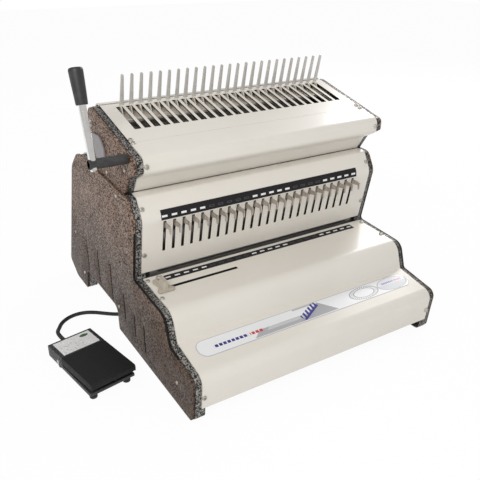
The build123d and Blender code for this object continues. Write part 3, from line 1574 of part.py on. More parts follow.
gland_end = gland_plane.offset(gland_length).origin
gland_out = gland_plane.offset(gland_length + 14).origin
coil_entry = (coil_centre[0] - cord_diameter, coil_centre[1] - coil_radius, cord_floor)
lead_route = [
    tuple(gland_end),
    tuple(gland_out),
    (-299.0, 272.0, 12.8),
    (-291.3, 289.5, 7.0),
    (-285.6, 302.3, 4.2),
    (-276.9, 312.0, cord_floor),
    (-265.4, 318.1, cord_floor),
    (-252.5, 319.9, cord_floor),
    (-239.8, 317.2, cord_floor),
    (-227.7, 310.2, cord_floor),
    (-216.5, 300.1, cord_floor),
    (-200.5, 286.6, cord_floor),
    (-181.0, 277.4, cord_floor),
    (-157.0, 272.9, cord_floor),
    (-134.0, coil_entry[1], cord_floor),
    coil_entry,
]
with BuildPart() as cord_lead:
    radii = route_radii(lead_route)
    with BuildLine() as lead_line:
        FilletPolyline(*lead_route, radius=radii)
    sweep(cord_section(lead_line.wire()), path=lead_line.wire())
    print_cord("cord_lead", cord_lead.part, lead_line.wire().length, radii)
cord_lead.part.label = "cord_lead"
export_step(cord_lead.part, "parts/cord_lead.step")


def coil_point(x, y, z):
    """A point of the coil's own plane, whose x axis points to the front."""
    return (coil_centre[0] + y, coil_centre[1] - x, z)


with BuildPart() as cord_coil:
    layer_top = cord_floor + coil_pitch
    with BuildLine() as coil_line:
        here, heading = coil_radius, 1
        Line(coil_point(here, -cord_diameter, cord_floor), coil_point(here, 0, cord_floor))
        for half_turn in range(coil_half_turns):
            radius = coil_radius - half_turn * coil_pitch / 2
            there = here - heading * 2 * radius
            middle = coil_point((here + there) / 2, heading * radius, cord_floor)
            ThreePointArc(coil_point(here, 0, cord_floor), middle, coil_point(there, 0, cord_floor))
            here, heading = there, -heading
        radius = coil_radius - coil_half_turns * coil_pitch / 2
        there = here - heading * 2 * radius
        bulge = sqrt(radius**2 + (coil_pitch / 2) ** 2)
        middle = coil_point((here + there) / 2, heading * bulge, cord_floor + coil_pitch / 2)
        start_way = Vector(*coil_point(0, heading, 0)) - Vector(*coil_point(0, 0, 0))
        climb = TangentArc(coil_point(here, 0, cord_floor), middle, tangent=start_way)
        TangentArc(middle, coil_point(there, 0, layer_top), tangent=climb % 1)
        here, heading = there, -heading
        for half_turn in range(coil_half_turns):
            radius = coil_radius - (coil_half_turns - 1 - half_turn) * coil_pitch / 2
            there = here - heading * 2 * radius
            middle = coil_point((here + there) / 2, heading * radius, layer_top)
            ThreePointArc(coil_point(here, 0, layer_top), middle, coil_point(there, 0, layer_top))
            here, heading = there, -heading
        coil_exit = coil_point(here, heading * cord_diameter, layer_top)
        Line(coil_point(here, 0, layer_top), coil_exit)
    sweep(cord_section(coil_line.wire()), path=coil_line.wire())
cord_coil.part.label = "cord_coil"
export_step(cord_coil.part, "parts/cord_coil.step")
print_cord("cord_coil", cord_coil.part, coil_line.wire().length, [coil_radius, radius])

tail_rise = 12.5
tail_route = [
    coil_exit,
    (coil_exit[0] - 13, coil_exit[1], layer_top),
    (tail_x, tail_y, layer_top + tail_rise),
    (tail_x, tail_y, machine_gland_z),
]
with BuildPart() as cord_tail:
    radii = route_radii(tail_route)
    with BuildLine() as tail_line:
        FilletPolyline(*tail_route, radius=radii)
    sweep(cord_section(tail_line.wire()), path=tail_line.wire())
    print_cord("cord_tail", cord_tail.part, tail_line.wire().length, radii)
cord_tail.part.label = "cord_tail"
export_step(cord_tail.part, "parts/cord_tail.step")

# Least gap of the coil to itself, on points that lie more than a quarter turn apart
samples = [coil_line.wire() @ (i / 900) for i in range(901)]
step = coil_line.wire().length / 900
apart = int(3 * coil_radius / 2 / step)
least = min(
    (samples[i] - samples[j]).length for i in range(901) for j in range(i + apart, 901)
)
print("cord_coil least gap", round(least - cord_diameter, 2))
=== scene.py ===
import math

import bmesh
import bpy
import numpy as np
from mathutils import Matrix, Vector


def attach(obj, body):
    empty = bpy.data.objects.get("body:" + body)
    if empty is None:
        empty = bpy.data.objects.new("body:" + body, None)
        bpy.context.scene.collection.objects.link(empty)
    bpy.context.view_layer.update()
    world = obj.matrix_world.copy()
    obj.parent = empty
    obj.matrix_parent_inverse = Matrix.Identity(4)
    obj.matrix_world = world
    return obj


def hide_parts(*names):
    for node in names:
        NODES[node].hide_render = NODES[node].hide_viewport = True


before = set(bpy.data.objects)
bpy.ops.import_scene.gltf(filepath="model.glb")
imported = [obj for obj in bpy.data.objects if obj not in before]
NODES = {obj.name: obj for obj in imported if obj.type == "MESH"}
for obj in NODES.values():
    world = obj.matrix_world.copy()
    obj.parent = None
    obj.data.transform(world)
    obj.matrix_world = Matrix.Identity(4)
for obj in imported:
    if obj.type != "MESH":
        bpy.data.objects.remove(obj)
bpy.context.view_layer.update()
MM = 0.001

# Places of the machine that materials and pieces share, in millimetres
PITCH = 14.2875
HOOK_COUNT = 24
FIRST_HOOK_X = -(HOOK_COUNT - 1) / 2 * PITCH - 0.8
TABLE_DASH_Y = 153.0
MID_DASH_Z = 218.0
HOOK_SLOT_HALF, HOOK_SLOT_Z, HOOK_SLOT_REACH = 2.15, 187, 24
GUIDE_SLOT_X, GUIDE_SLOT_REACH = -127, 61.1
GUIDE_SLOT_Y, GUIDE_SLOT_HALF = 130.8, 2.55
TABLE_UNDERSIDE = 100
HUB_Y, HUB_Z = 167.0, 300.5
LEVER_LEAN = math.radians(15.5)
LABEL_TOP = (62.4, 81.1)
LABEL_FOOT = (-4.8, 68.6)
LABEL_START, LABEL_HEIGHT = 8.5, 29.5
LABEL_MIDDLE, LABEL_HALF, LABEL_CORNER = 3.0, 184.0, 13.0
RIDGE, TOP_SLOPE = (291.4, 341.3), math.atan2(26.8, 107.4)
TOP_COVER_SKIN = 0.25
CASING_FACE, CASING_SKIN = 209.1, 0.35
LOUVRE_Y, LOUVRE_REACH, LOUVRE_TOP = 200, 160, 200
# Painted shade: the dark colour given to slot walls and inner faces, standing for the shadow inside
# them
PAINTED_WALL_SHADE = (0.018, 0.016, 0.014)
PEDAL_CORNER = (-325.1, 225.0)
PEDAL_TURN = math.radians(9.84)
CORD_DIAMETER = 6.0
CORD_FLOOR = 3.2
RIM_STEPS = 48


# ---------------------------------------------------------------- materials


class Channel:
    """A value of a material that takes part in plain arithmetic."""

    def __init__(self, finish, socket):
        self.finish, self.socket = finish, socket

    def _math(self, operation, *values):
        node = self.finish.add("ShaderNodeMath", {"operation": operation}, *values)
        return Channel(self.finish, node.outputs[0])

    def __add__(self, other):
        return self._math("ADD", self, other)

    def __radd__(self, other):
        return self._math("ADD", other, self)

    def __sub__(self, other):
        return self._math("SUBTRACT", self, other)

    def __rsub__(self, other):
        return self._math("SUBTRACT", other, self)

    def __mul__(self, other):
        return self._math("MULTIPLY", self, other)

    def __truediv__(self, other):
        return self._math("DIVIDE", self, other)

    def __lt__(self, other):
        return self._math("LESS_THAN", self, other)

    def __gt__(self, other):
        return self._math("GREATER_THAN", self, other)

    def __abs__(self):
        return self._math("ABSOLUTE", self)

    def floor(self):
        return self._math("FLOOR", self)

    def either(self, other):
        return self._math("MAXIMUM", self, other)

    def root(self):
        return self._math("SQRT", self)

    def arctan2(self, other):
        return self._math("ARCTAN2", self, other)

    def fraction(self):
        """What is left above the whole number below."""
        return self - self.floor()

    def fade(self, low, high):
        """0 below low, 1 above high and a smooth step between."""
        settings = {"interpolation_type": "SMOOTHSTEP"}
        node = self.finish.add("ShaderNodeMapRange", settings, self, low, high, 0.0, 1.0)
        return Channel(self.finish, node.outputs[0])


class Finish:
    """One procedural material, built around a Principled shader."""

    def __init__(self, name, roughness=0.5, metallic=0.0, coat=0.0):
        self.material = bpy.data.materials.new(name)
        self.material.use_nodes = True
        self.nodes = self.material.node_tree.nodes
        self.links = self.material.node_tree.links
        self.shader = self.nodes["Principled BSDF"]
        self.put(Roughness=roughness, Metallic=metallic)
        if coat:
            self.put(**{"Coat Weight": coat, "Coat Roughness": 0.12})
        coordinates = self.add("ShaderNodeTexCoord")
        self.place = coordinates.outputs["Object"]
        parts = self.add("ShaderNodeSeparateXYZ", {}, self.place)
        self.x, self.y, self.z = (Channel(self, socket) for socket in parts.outputs)

    def add(self, kind, settings=None, *values, **named):
        node = self.nodes.new(kind)
        for key, value in (settings or {}).items():
            setattr(node, key, value)
        for socket, value in zip(node.inputs, values):
            self.feed(socket, value)
        for name, value in named.items():
            self.feed(node.inputs[name], value)
        return node

    def feed(self, socket, value):
        if isinstance(value, Channel):
            self.links.new(value.socket, socket)
        elif isinstance(value, bpy.types.NodeSocket):
            self.links.new(value, socket)
        elif socket.type == "RGBA" and len(value) == 3:
            socket.default_value = (*value, 1)
        else:
            socket.default_value = value

    def put(self, **channels):
        for name, value in channels.items():
            self.feed(self.shader.inputs[name], value)

    def stretched(self, x, y, z):
        return self.add("ShaderNodeMapping", {}, self.place, Scale=(x, y, z)).outputs[0]

    def noise(self, scale, detail=2.0, roughness=0.5, vector=None, distortion=0.0):
        node = self.add(
            "ShaderNodeTexNoise",
            Vector=vector or self.place,
            Scale=scale,
            Detail=detail,
            Roughness=roughness,
            Distortion=distortion,
        )
        return Channel(self, node.outputs[0])

    def mix(self, factor, first, second):
        node = self.add("ShaderNodeMix", {"data_type": "RGBA"})
        self.feed(node.inputs[0], factor)
        self.feed(node.inputs[6], first)
        self.feed(node.inputs[7], second)
        return Channel(self, node.outputs[2])

    def bump(self, height, distance, strength=1.0):
        node = self.add("ShaderNodeBump", {}, Height=height, Distance=distance, Strength=strength)
        self.put(Normal=Channel(self, node.outputs[0]))


def within(value, middle, half):
    return abs(value - middle) < half


def from_hook(finish):
    """Number of the nearest middle hook and the distance from its centre line."""
    step = (finish.x - FIRST_HOOK_X * MM) / (PITCH * MM) + 0.5
    index = step.floor()
    return index, abs(step - index - 0.5) * (PITCH * MM)


def in_top_slot(finish):
    """Everything of the top cover that lies under its outer face: the inner faces and slot walls that
    get painted shade.
    """
    back, up = finish.y - RIDGE[0] * MM, finish.z - RIDGE[1] * MM
    return up * math.cos(TOP_SLOPE) - back * math.sin(TOP_SLOPE) < -TOP_COVER_SKIN * MM


def in_hook_slot(finish):
    """The walls of the middle cover's slots, which get painted shade."""
    index, off = from_hook(finish)
    row = (index > -0.5) * (index < HOOK_COUNT - 0.5)
    return (off < HOOK_SLOT_HALF * MM) * row * within(finish.z, HOOK_SLOT_Z * MM, HOOK_SLOT_REACH * MM)


def in_louvre(finish):
    """The walls of the cuts in a side panel, a little under its outer face, which get painted shade."""
    under = abs(finish.x) < CASING_FACE * MM - CASING_SKIN * MM
    return under * within(finish.y, LOUVRE_Y * MM, LOUVRE_REACH * MM) * (finish.z < LOUVRE_TOP * MM)


def in_guide_slot(finish):
    """The leaning walls of the slot that the side guide moves in, which get painted shade; the band
    reaches a little onto the table beside the slot.
    """
    across = within(finish.y, GUIDE_SLOT_Y * MM, GUIDE_SLOT_HALF * MM)
    along = within(finish.x, GUIDE_SLOT_X * MM, GUIDE_SLOT_REACH * MM)
    return across * along * (finish.z > TABLE_UNDERSIDE * MM)


def hammered_paint(name, dark, light, low, high, scale, metallic, gloss=0.5, foot=None):
    """Hammer finish: a dark ground with lighter islands of flake. Given foot, the islands are dimmed by
    that factor near the floor as painted shade, and the louvre walls are painted dark as shade.
    """
    finish = Finish(name, metallic=metallic)
    finish.put(**{"Specular IOR Level": gloss})
    warped = finish.noise(scale, 1.0, 0.5, distortion=0.4)
    fine = finish.noise(scale * 2.7, 1.0, 0.5)
    cloud = finish.noise(scale * 0.06, 2.0, 0.5)
    islands = (warped * 0.7 + fine * 0.3 + (cloud - 0.5) * 0.12).fade(low, high)
    tone = finish.mix(islands, dark, light)
    if foot:
        # Painted shade: near the floor the islands fall to foot times their colour, fading in between
        # 230 and 30 mm up
        shaded = finish.mix(islands, dark, [value * foot for value in light])
        tone = finish.mix(finish.z.fade(30 * MM, 230 * MM), shaded, tone)
        # Painted shade on the louvre walls
        tone = finish.mix(in_louvre(finish), tone, PAINTED_WALL_SHADE)
    finish.put(**{"Base Color": tone})
    finish.put(Roughness=0.52 - islands * 0.2)
    finish.bump(islands, 0.00035, 0.9)
    return finish.material


def smooth_paint(name, colour, shade, painted_shade_mask=None):
    """Satin powder coat with a faint orange peel and a trace of dust; where a mask is given, the inner
    walls are painted dark as shade.
    """
    finish = Finish(name, coat=0.15)
    peel = finish.noise(700, 2.0, 0.5)
    dust = finish.noise(9, 4.0, 0.6).fade(0.35, 0.75)
    tone = finish.mix(dust, colour, shade)
    if painted_shade_mask:
        # Painted shade: the masked inner walls and faces take the dark wall colour
        tone = finish.mix(painted_shade_mask(finish), tone, PAINTED_WALL_SHADE)
    finish.put(**{"Base Color": tone}, Roughness=0.3 + dust * 0.06 + peel * 0.05)
    finish.bump(peel, 0.00006, 0.5)
    return finish.material


def brushed_metal(name, colour, shade, along=(20, 500, 500), roughness=0.3, metallic=0.9):
    """Metal with fine scratches along one direction."""
    finish = Finish(name, metallic=metallic)
    scratches = finish.noise(1.0, 3.0, 0.6, finish.stretched(*along))
    stains = finish.noise(60, 3.0, 0.6).fade(0.4, 0.7)
    finish.put(**{"Base Color": finish.mix(scratches * 0.6 + stains * 0.4, colour, shade)})
    finish.put(Roughness=roughness + scratches * 0.14)
    finish.bump(scratches, 0.00004, 0.4)
    return finish.material


def plated_metal(name, colour, shade, metallic=0.75):
    """Passivated zinc: dull, cloudy and slightly grainy."""
    finish = Finish(name, metallic=metallic)
    cloud = finish.noise(130, 4.0, 0.65).fade(0.35, 0.7)
    grain = finish.noise(1500, 2.0, 0.5)
    finish.put(**{"Base Color": finish.mix(cloud * 0.75 + grain * 0.25, colour, shade)})
    finish.put(Roughness=0.34 + grain * 0.2)
    finish.bump(grain, 0.00005, 0.5)
    return finish.material


def moulded(name, colour, shade, roughness=0.5, scale=1400, height=0.00008):
    """Plastic or rubber with a moulded grain and worn, paler high spots."""
    finish = Finish(name)
    grain = finish.noise(scale, 2.0, 0.55)
    wear = finish.noise(70, 3.0, 0.6).fade(0.45, 0.8)
    finish.put(**{"Base Color": finish.mix(wear * 0.7 + grain * 0.3, colour, shade)})
    finish.put(Roughness=roughness + grain * 0.15 - wear * 0.05)
    finish.bump(grain, height, 0.7)
    return finish.material


def chrome(name):
    finish = Finish(name, metallic=1.0)
    smear = finish.noise(90, 3.0, 0.6).fade(0.4, 0.8)
    finish.put(**{"Base Color": finish.mix(smear, (0.86, 0.85, 0.83), (0.72, 0.70, 0.67))})
    finish.put(Roughness=0.07 + smear * 0.08)
    return finish.material


def scale_strip(name, along, middle):
    """Black strip with a dash at each slot: plain white ones and faint outlined ones in turn."""
    finish = Finish(name, roughness=0.55)
    finish.put(**{"Specular IOR Level": 0.25})
    index, off = from_hook(finish)
    side = abs((finish.y if along == "y" else finish.z) - middle * MM)
    dash = (off < 4.0 * MM) * (side < 1.4 * MM)
    core = (off < 3.3 * MM) * (side < 0.8 * MM)
    last = HOOK_COUNT - 1
    first_five, middle_five = index < 4.5, (index > 9.5) * (index < 14.5)
    last_five = (index > last - 4.5) * (index < last + 0.5)
    plain = first_five.either(middle_five).either(last_five)
    row = (index > -0.5) * (index < last + 0.5)
    white = dash * plain * row
    grey = dash * (1 - core) * (1 - plain) * row
    grain = finish.noise(900, 2.0, 0.5)
    ground = finish.mix(grain, (0.008, 0.007, 0.008), (0.018, 0.016, 0.018))
    lettered = finish.mix(grey * 0.45, ground, (0.16, 0.16, 0.17))
    finish.put(**{"Base Color": finish.mix(white, lettered, (0.78, 0.78, 0.77))})
    finish.bump(grain, 0.00003, 0.5)
    return finish.material


def control_panel(name):
    """Pale label with plain grey fields, a blue step pattern, a ring scale and a disc."""
    finish = Finish(name, coat=0.3)
    fall = math.cos(math.atan2(LABEL_TOP[1] - LABEL_FOOT[1], LABEL_TOP[0] - LABEL_FOOT[0]))
    x = finish.x * 1000
    down = (LABEL_TOP[0] - finish.y * 1000) * (1 / fall)
    v = down - LABEL_START
    middle = LABEL_HEIGHT / 2
    over = (abs(x - LABEL_MIDDLE) - (LABEL_HALF - LABEL_CORNER)).either(0.0)
    beyond = (abs(v - middle) - (middle - LABEL_CORNER)).either(0.0)
    border = (over * over + beyond * beyond).root() > LABEL_CORNER - 0.9
    lean = x + v * 1.1
    band = within(lean, -22, 48) * within(v, 21.4, 6.0)
    band = band.either(within(x, -4, 20) * within(v, 2.6, 1.2))
    ribs = within(lean, -22, 32) * within(v, 18.0, 3.2) * ((v * 0.6).fraction() < 0.35)
    tilt_cosine, tilt_sine = 0.875, 0.484
    rise = (x + 1) * tilt_sine + (v - middle + 1) * tilt_cosine
    along = (x + 1) * tilt_cosine - (v - middle + 1) * tilt_sine
    triangle = (rise > 0.0) * (x - v * 0.92 < 17) * within(v, middle, 12.6)
    teeth = ((along * 0.13 + rise * 0.07).fraction() < 0.55) * within(rise, -1.5, 4.5)
    steps = teeth.either(within(rise, 3.2, 1.6)) * within(along, 0, 19.5)
    blocks = within(v, middle + 2, 2.4) * ((x * 0.16).fraction() < 0.74)

    def oval(centre, half_width, half_height):
        across, up = (x - centre) * (1 / half_width), (v - middle) * (1 / half_height)
        return (across * across + up * up).root()

    ring_x, ring_width, ring_height = 100, 28.5, 13
    ring_radius = oval(ring_x, ring_width, ring_height)
    ring = within(ring_radius, 0.93, 0.028).either(within(ring_radius, 0.66, 0.03))
    turns = ((v - middle) * (ring_width / ring_height)).arctan2(x - ring_x) * (18 / math.pi)
    ticks = within(ring_radius, 0.8, 0.1) * (turns.fraction() < 0.3)
    disc_radius = oval(157, 29, 13.5)
    disc = disc_radius < 1.0
    bars = disc * within(v, middle - 3.5, 1.9) * ((x * 0.3).fraction() < 0.66)

    paper = finish.noise(40, 3.0, 0.5)
    colour = finish.mix(paper, (0.82, 0.82, 0.83), (0.78, 0.78, 0.79))
    for mask, tint in (
        (triangle * 0.85, (0.30, 0.30, 0.32)),
        (band * 0.85, (0.34, 0.34, 0.36)),
        (ribs * 0.9, (0.84, 0.84, 0.85)),
        (steps, (0.025, 0.018, 0.24)),
        (within(x, -132, 26) * blocks, (0.025, 0.02, 0.20)),
        (within(x, -92, 11) * blocks, (0.55, 0.04, 0.05)),
        (disc * 0.5, (0.62, 0.63, 0.66)),
        (disc * (v > middle) * 0.5, (0.42, 0.43, 0.46)),
        (ring.either(ticks) * 0.85, (0.20, 0.20, 0.22)),
        (within(disc_radius, 0.97, 0.03) * 0.8, (0.30, 0.30, 0.32)),
        (bars * within(x, 150, 12), (0.10, 0.08, 0.40)),
        (bars * within(x, 171, 7), (0.60, 0.16, 0.25)),
        (border * 0.8, (0.34, 0.34, 0.37)),
    ):
        colour = finish.mix(mask, colour, tint)
    finish.put(**{"Base Color": colour}, Roughness=0.32 + paper * 0.08)
    finish.bump(paper, 0.00002, 0.3)
    return finish.material


def pedal_axes(finish):
    """Millimetres along the pedal's rear edge and towards its front."""
    across, ahead = finish.x * 1000 - PEDAL_CORNER[0], finish.y * 1000 - PEDAL_CORNER[1]
    cosine, sine = math.cos(PEDAL_TURN), math.sin(PEDAL_TURN)
    return across * cosine + ahead * sine, across * sine - ahead * cosine


def pedal_plate(name):
    """Speckled silver label with a green oval near its rear right corner."""
    finish = Finish(name, metallic=0.1)
    x, y = pedal_axes(finish)
    across, up = (x - 50) * (1 / 6.5), (y - 12.5) * (1 / 3.6)
    oval = (across * across + up * up).root() < 1.0
    lines = within(y, 27, 10) * within(x, 26, 17) * ((y * 0.42).fraction() < 0.4)
    speckle = finish.noise(900, 2.0, 0.6).fade(0.4, 0.62)
    worn = finish.noise(220, 3.0, 0.6).fade(0.45, 0.7)
    colour = finish.mix(speckle, (0.66, 0.66, 0.65), (0.97, 0.97, 0.96))
    colour = finish.mix(lines * worn * 0.7, colour, (0.14, 0.14, 0.14))
    colour = finish.mix(oval, colour, (0.05, 0.13, 0.03))
    finish.put(**{"Base Color": colour}, Roughness=0.38 + speckle * 0.15)
    finish.bump(speckle, 0.00003, 0.5)
    return finish.material


def pedal_tread(name):
    """Black moulded tread: small raised squares in rows."""
    finish = Finish(name)
    x, y = pedal_axes(finish)
    groove = ((x * 0.4).fraction() < 0.22).either((y * 0.4).fraction() < 0.22)
    grain = finish.noise(1300, 2.0, 0.6)
    finish.put(**{"Base Color": finish.mix(grain, (0.006, 0.006, 0.006), (0.016, 0.016, 0.016))})
    finish.put(Roughness=0.62 + grain * 0.15)
    finish.put(**{"Specular IOR Level": 0.3})
    finish.bump(grain * 0.5 - groove * 0.5, 0.00018, 0.8)
    return finish.material


# The last number, 0.36, darkens the lower side panels towards the floor as painted shade
BROWN_HAMMER = hammered_paint(
    "brown_hammer", (0.030, 0.016, 0.011), (0.35, 0.238, 0.175), 0.43, 0.57, 480, 0.05, 0.12, 0.36
)
BLACK_HAMMER = hammered_paint(
    "black_hammer", (0.012, 0.011, 0.010), (0.32, 0.305, 0.285), 0.46, 0.57, 430, 0.3
)
# Painted shade: a darker copy of the black hammer finish for the right-hand strips, which lie in shade
BLACK_HAMMER_PAINTED_SHADE = hammered_paint(
    "black_hammer_painted_shade", (0.010, 0.009, 0.008), (0.19, 0.18, 0.17), 0.44, 0.56, 430, 0.3
)
IVORY_COAT = ((0.745, 0.705, 0.640), (0.715, 0.675, 0.605))
IVORY = smooth_paint("ivory_paint", *IVORY_COAT)
IVORY_TOP = smooth_paint("ivory_top", *IVORY_COAT, in_top_slot)
IVORY_MIDDLE = smooth_paint("ivory_middle", *IVORY_COAT, in_hook_slot)
IVORY_TABLE = smooth_paint("ivory_table", *IVORY_COAT, in_guide_slot)
STEEL = brushed_metal("brushed_steel", (0.60, 0.585, 0.56), (0.44, 0.43, 0.41))
PRONG_STEEL = brushed_metal(
    "prong_steel", (0.66, 0.635, 0.60), (0.50, 0.475, 0.44), (500, 500, 25), 0.36, 0.7
)
PLATE_STEEL = brushed_metal(
    "plate_steel", (0.36, 0.34, 0.345), (0.30, 0.285, 0.29), (300, 300, 300), 0.5, 0.4
)
SPRUNG_STEEL = plated_metal("hook_plating", (0.56, 0.505, 0.44), (0.34, 0.30, 0.255), 0.5)
CARRIAGE_ZINC = plated_metal("carriage_zinc", (0.86, 0.79, 0.69), (0.50, 0.43, 0.36), 0.3)
SCREW_ZINC = plated_metal("screw_zinc", (0.62, 0.60, 0.55), (0.36, 0.34, 0.30))
CHROME = chrome("rod_chrome")
GRIP_BLACK = moulded("grip_plastic", (0.020, 0.020, 0.021), (0.045, 0.045, 0.047), 0.38)
HUB_BLACK = moulded("hub_plastic", (0.022, 0.022, 0.022), (0.075, 0.072, 0.070), 0.42, 500, 0.00012)
CASE_BLACK = moulded("case_plastic", (0.016, 0.016, 0.017), (0.034, 0.034, 0.036), 0.5)
RUBBER = moulded("soft_rubber", (0.012, 0.012, 0.012), (0.030, 0.030, 0.030), 0.66)
THUMB_ZINC = plated_metal("thumbscrew_zinc", (0.56, 0.53, 0.47), (0.38, 0.35, 0.30))
GUIDE_PLASTIC = moulded("guide_plastic", (0.40, 0.35, 0.28), (0.56, 0.51, 0.43), 0.35, 800)
PEDAL_BLACK = hammered_paint(
    "pedal_paint", (0.012, 0.012, 0.012), (0.045, 0.045, 0.045), 0.4, 0.65, 900, 0.1
)
MOTOR_PAINT = smooth_paint("motor_paint", (0.07, 0.08, 0.09), (0.05, 0.055, 0.06))
ALUMINIUM = brushed_metal("turned_aluminium", (0.66, 0.66, 0.66), (0.5, 0.5, 0.5), (500, 60, 60), 0.28)
BRONZE = brushed_metal("bearing_bronze", (0.55, 0.36, 0.14), (0.42, 0.26, 0.10), (300, 300, 300), 0.35)
BOARD = moulded("circuit_board", (0.015, 0.10, 0.045), (0.03, 0.16, 0.07), 0.35, 400)
TABLE_SCALE = scale_strip("table_scale", "y", TABLE_DASH_Y)
MID_SCALE = scale_strip("mid_scale", "z", MID_DASH_Z)
PANEL = control_panel("control_panel")
PEDAL_PLATE = pedal_plate("pedal_plate")
PEDAL_TREAD = pedal_tread("pedal_tread")

FINISHES = {
    BROWN_HAMMER: "lower_casing_left lower_casing_right upper_casing_left upper_casing_right",
    BLACK_HAMMER: "lower_frame_left upper_frame_left",
    BLACK_HAMMER_PAINTED_SHADE: "lower_frame_right upper_frame_right",
    IVORY: "upper_cover rear_cover upper_rear_cover",
    IVORY_TOP: "top_cover",
    IVORY_MIDDLE: "mid_cover",
    IVORY_TABLE: "lower_cover",
    STEEL: "base_plate top_rails mid_rails die_plate stripper_plate guide_columns punch_bar punches "
    "camshaft motor_bracket pedal_pin",
    PRONG_STEEL: "prong_comb",
    PLATE_STEEL: "stop_plate",
    SPRUNG_STEEL: "mid_carriage",
    CARRIAGE_ZINC: "top_carriage",
    SCREW_ZINC: "cover_screws casing_screws",
    CHROME: "lever_rod",
    GRIP_BLACK: "lever_grip",
    HUB_BLACK: "lever_shaft",
    CASE_BLACK: "power_inlet switch_housing rocker chip_drawer machine_gland pedal_switch guide_knob",
    RUBBER: "drive_belt pedal_feet pedal_gland cord_lead cord_coil cord_tail",
    GUIDE_PLASTIC: "side_guide",
    PEDAL_BLACK: "pedal_base",
    MOTOR_PAINT: "motor",
    ALUMINIUM: "cam_pulley motor_pulley",
    BRONZE: "shaft_bushes cam_bearings",
    BOARD: "control_board",
    TABLE_SCALE: "table_strip",
    MID_SCALE: "mid_strip",
    PANEL: "control_label",
    PEDAL_PLATE: "pedal_label",
    PEDAL_TREAD: "pedal_flap",
}


def dress(piece, material):
    piece.data.materials.clear()
    piece.data.materials.append(material)


for material, names in FINISHES.items():
    for name in names.split():
        dress(NODES[name], material)


# ---------------------------------------------------------------- modelling


def begin(add, **options):
    """A new mesh from a primitive, with nothing else selected."""
    if bpy.context.object and bpy.context.object.mode != "OBJECT":
        bpy.ops.object.mode_set(mode="OBJECT")
    bpy.ops.object.select_all(action="DESELECT")
    add(**options)
    return bpy.context.object


def take(piece):
    bpy.ops.object.select_all(action="DESELECT")
    piece.select_set(True)
    bpy.context.view_layer.objects.active = piece


class Editing:
    """Edit mode on one piece, with its vertices, edges or faces picked by a test."""

    def __init__(self, piece):
        self.piece = piece

    def __enter__(self):
        take(self.piece)
        bpy.ops.object.mode_set(mode="EDIT")
        bpy.ops.mesh.select_all(action="DESELECT")
        return self

    def __exit__(self, *error):
        bpy.ops.object.mode_set(mode="OBJECT")

    def pick(self, kind, test):
        bpy.ops.mesh.select_all(action="DESELECT")
        bpy.ops.mesh.select_mode(type={"verts": "VERT", "edges": "EDGE", "faces": "FACE"}[kind])
        mesh = bmesh.from_edit_mesh(self.piece.data)
        for element in getattr(mesh, kind):
            if test(element):
                element.select_set(True)
        bmesh.update_edit_mesh(self.piece.data)

    def all(self):
        bpy.ops.mesh.select_all(action="SELECT")


def flat_at(height):
    return lambda element: all(abs(v.co.z - height) < 1e-6 for v in element.verts)


def on_flute(vertex, every):
    """True for one in every few of the vertices around a rim."""
    turn = math.degrees(math.atan2(vertex.co.y, vertex.co.x))
    return round(turn / (360 / RIM_STEPS)) % every == 0


def apply_modifier(piece, kind, **settings):
    take(piece)
    modifier = piece.modifiers.new(kind.lower(), kind)
    for key, value in settings.items():
        setattr(modifier, key, value)
    bpy.ops.object.modifier_apply(modifier=modifier.name)


def smooth(piece, angle=35):
    take(piece)
    bpy.ops.object.shade_smooth_by_angle(angle=math.radians(angle))


def settle(piece, place):
    """Puts the piece's place into its mesh."""
    piece.data.transform(place @ piece.matrix_world)
    piece.matrix_world = Matrix.Identity(4)
    return piece


def finish_piece(piece, name, body, material, replaced=()):
    piece.name = piece.data.name = name
    dress(piece, material)
    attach(piece, body)
    if replaced:
        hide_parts(*replaced)
    return piece


def joined(pieces):
    bpy.ops.object.select_all(action="DESELECT")
    for piece in pieces:
        piece.select_set(True)
    bpy.context.view_layer.objects.active = pieces[0]
    bpy.ops.object.join()
    return pieces[0]


def copied(piece, place):
    twin = piece.copy()
    twin.data = piece.data.copy()
    bpy.context.scene.collection.objects.link(twin)
    twin.data.transform(place)
    return twin


def turned(profile, steps):
    """A solid turned about Z from (radius, height) points that start and end on the axis."""
    piece = begin(bpy.ops.mesh.primitive_plane_add, size=0.001)
    with Editing(piece) as edit:
        edit.pick("verts", lambda v: v.index > 0)
        bpy.ops.mesh.delete(type="VERT")
        edit.all()
        start = Vector((profile[0][0] * MM, 0, profile[0][1] * MM)) - piece.data.vertices[0].co
        bpy.ops.transform.translate(value=start)
        for here, there in zip(profile, profile[1:]):
            step = ((there[0] - here[0]) * MM, 0, (there[1] - here[1]) * MM)
            bpy.ops.mesh.extrude_region_move(TRANSFORM_OT_translate={"value": step})
        edit.all()
        bpy.ops.mesh.spin(steps=steps, angle=2 * math.pi, center=(0, 0, 0), axis=(0, 0, 1))
        edit.all()
        bpy.ops.mesh.remove_doubles(threshold=1e-6)
        bpy.ops.mesh.normals_make_consistent(inside=False)
    smooth(piece)
    return piece


def softened(node, width, name, body, material, angle=30, segments=2):
    """The node's shape with its sharp edges rounded off."""
    piece = copied(NODES[node], Matrix.Identity(4))
    for key in list(piece.keys()):
        del piece[key]
    piece.parent = None
    with Editing(piece) as edit:
        edit.all()
        bpy.ops.mesh.remove_doubles(threshold=1e-6)
        edit.all()
        bpy.ops.mesh.dissolve_limited(angle_limit=math.radians(0.5))
    apply_modifier(
        piece,
        "BEVEL",
        width=width * MM,
        segments=segments,
        limit_method="ANGLE",
        angle_limit=math.radians(angle),
        use_clamp_overlap=True,
    )
    smooth(piece, 30)
    return finish_piece(piece, name, body, material, [node])


def framed(origin, direction, upward=(0, 0, 1)):
    """Matrix of a place in millimetres whose Z points along direction."""
    z = Vector(direction).normalized()
    x = Vector(upward).cross(z)
    x = x.normalized() if x.length > 1e-6 else Vector((1, 0, 0))
    y = z.cross(x)
    matrix = Matrix((x, y, z)).transposed().to_4x4()
    matrix.translation = Vector(origin) * MM
    return matrix


# ---------------------------------------------------------------- screws


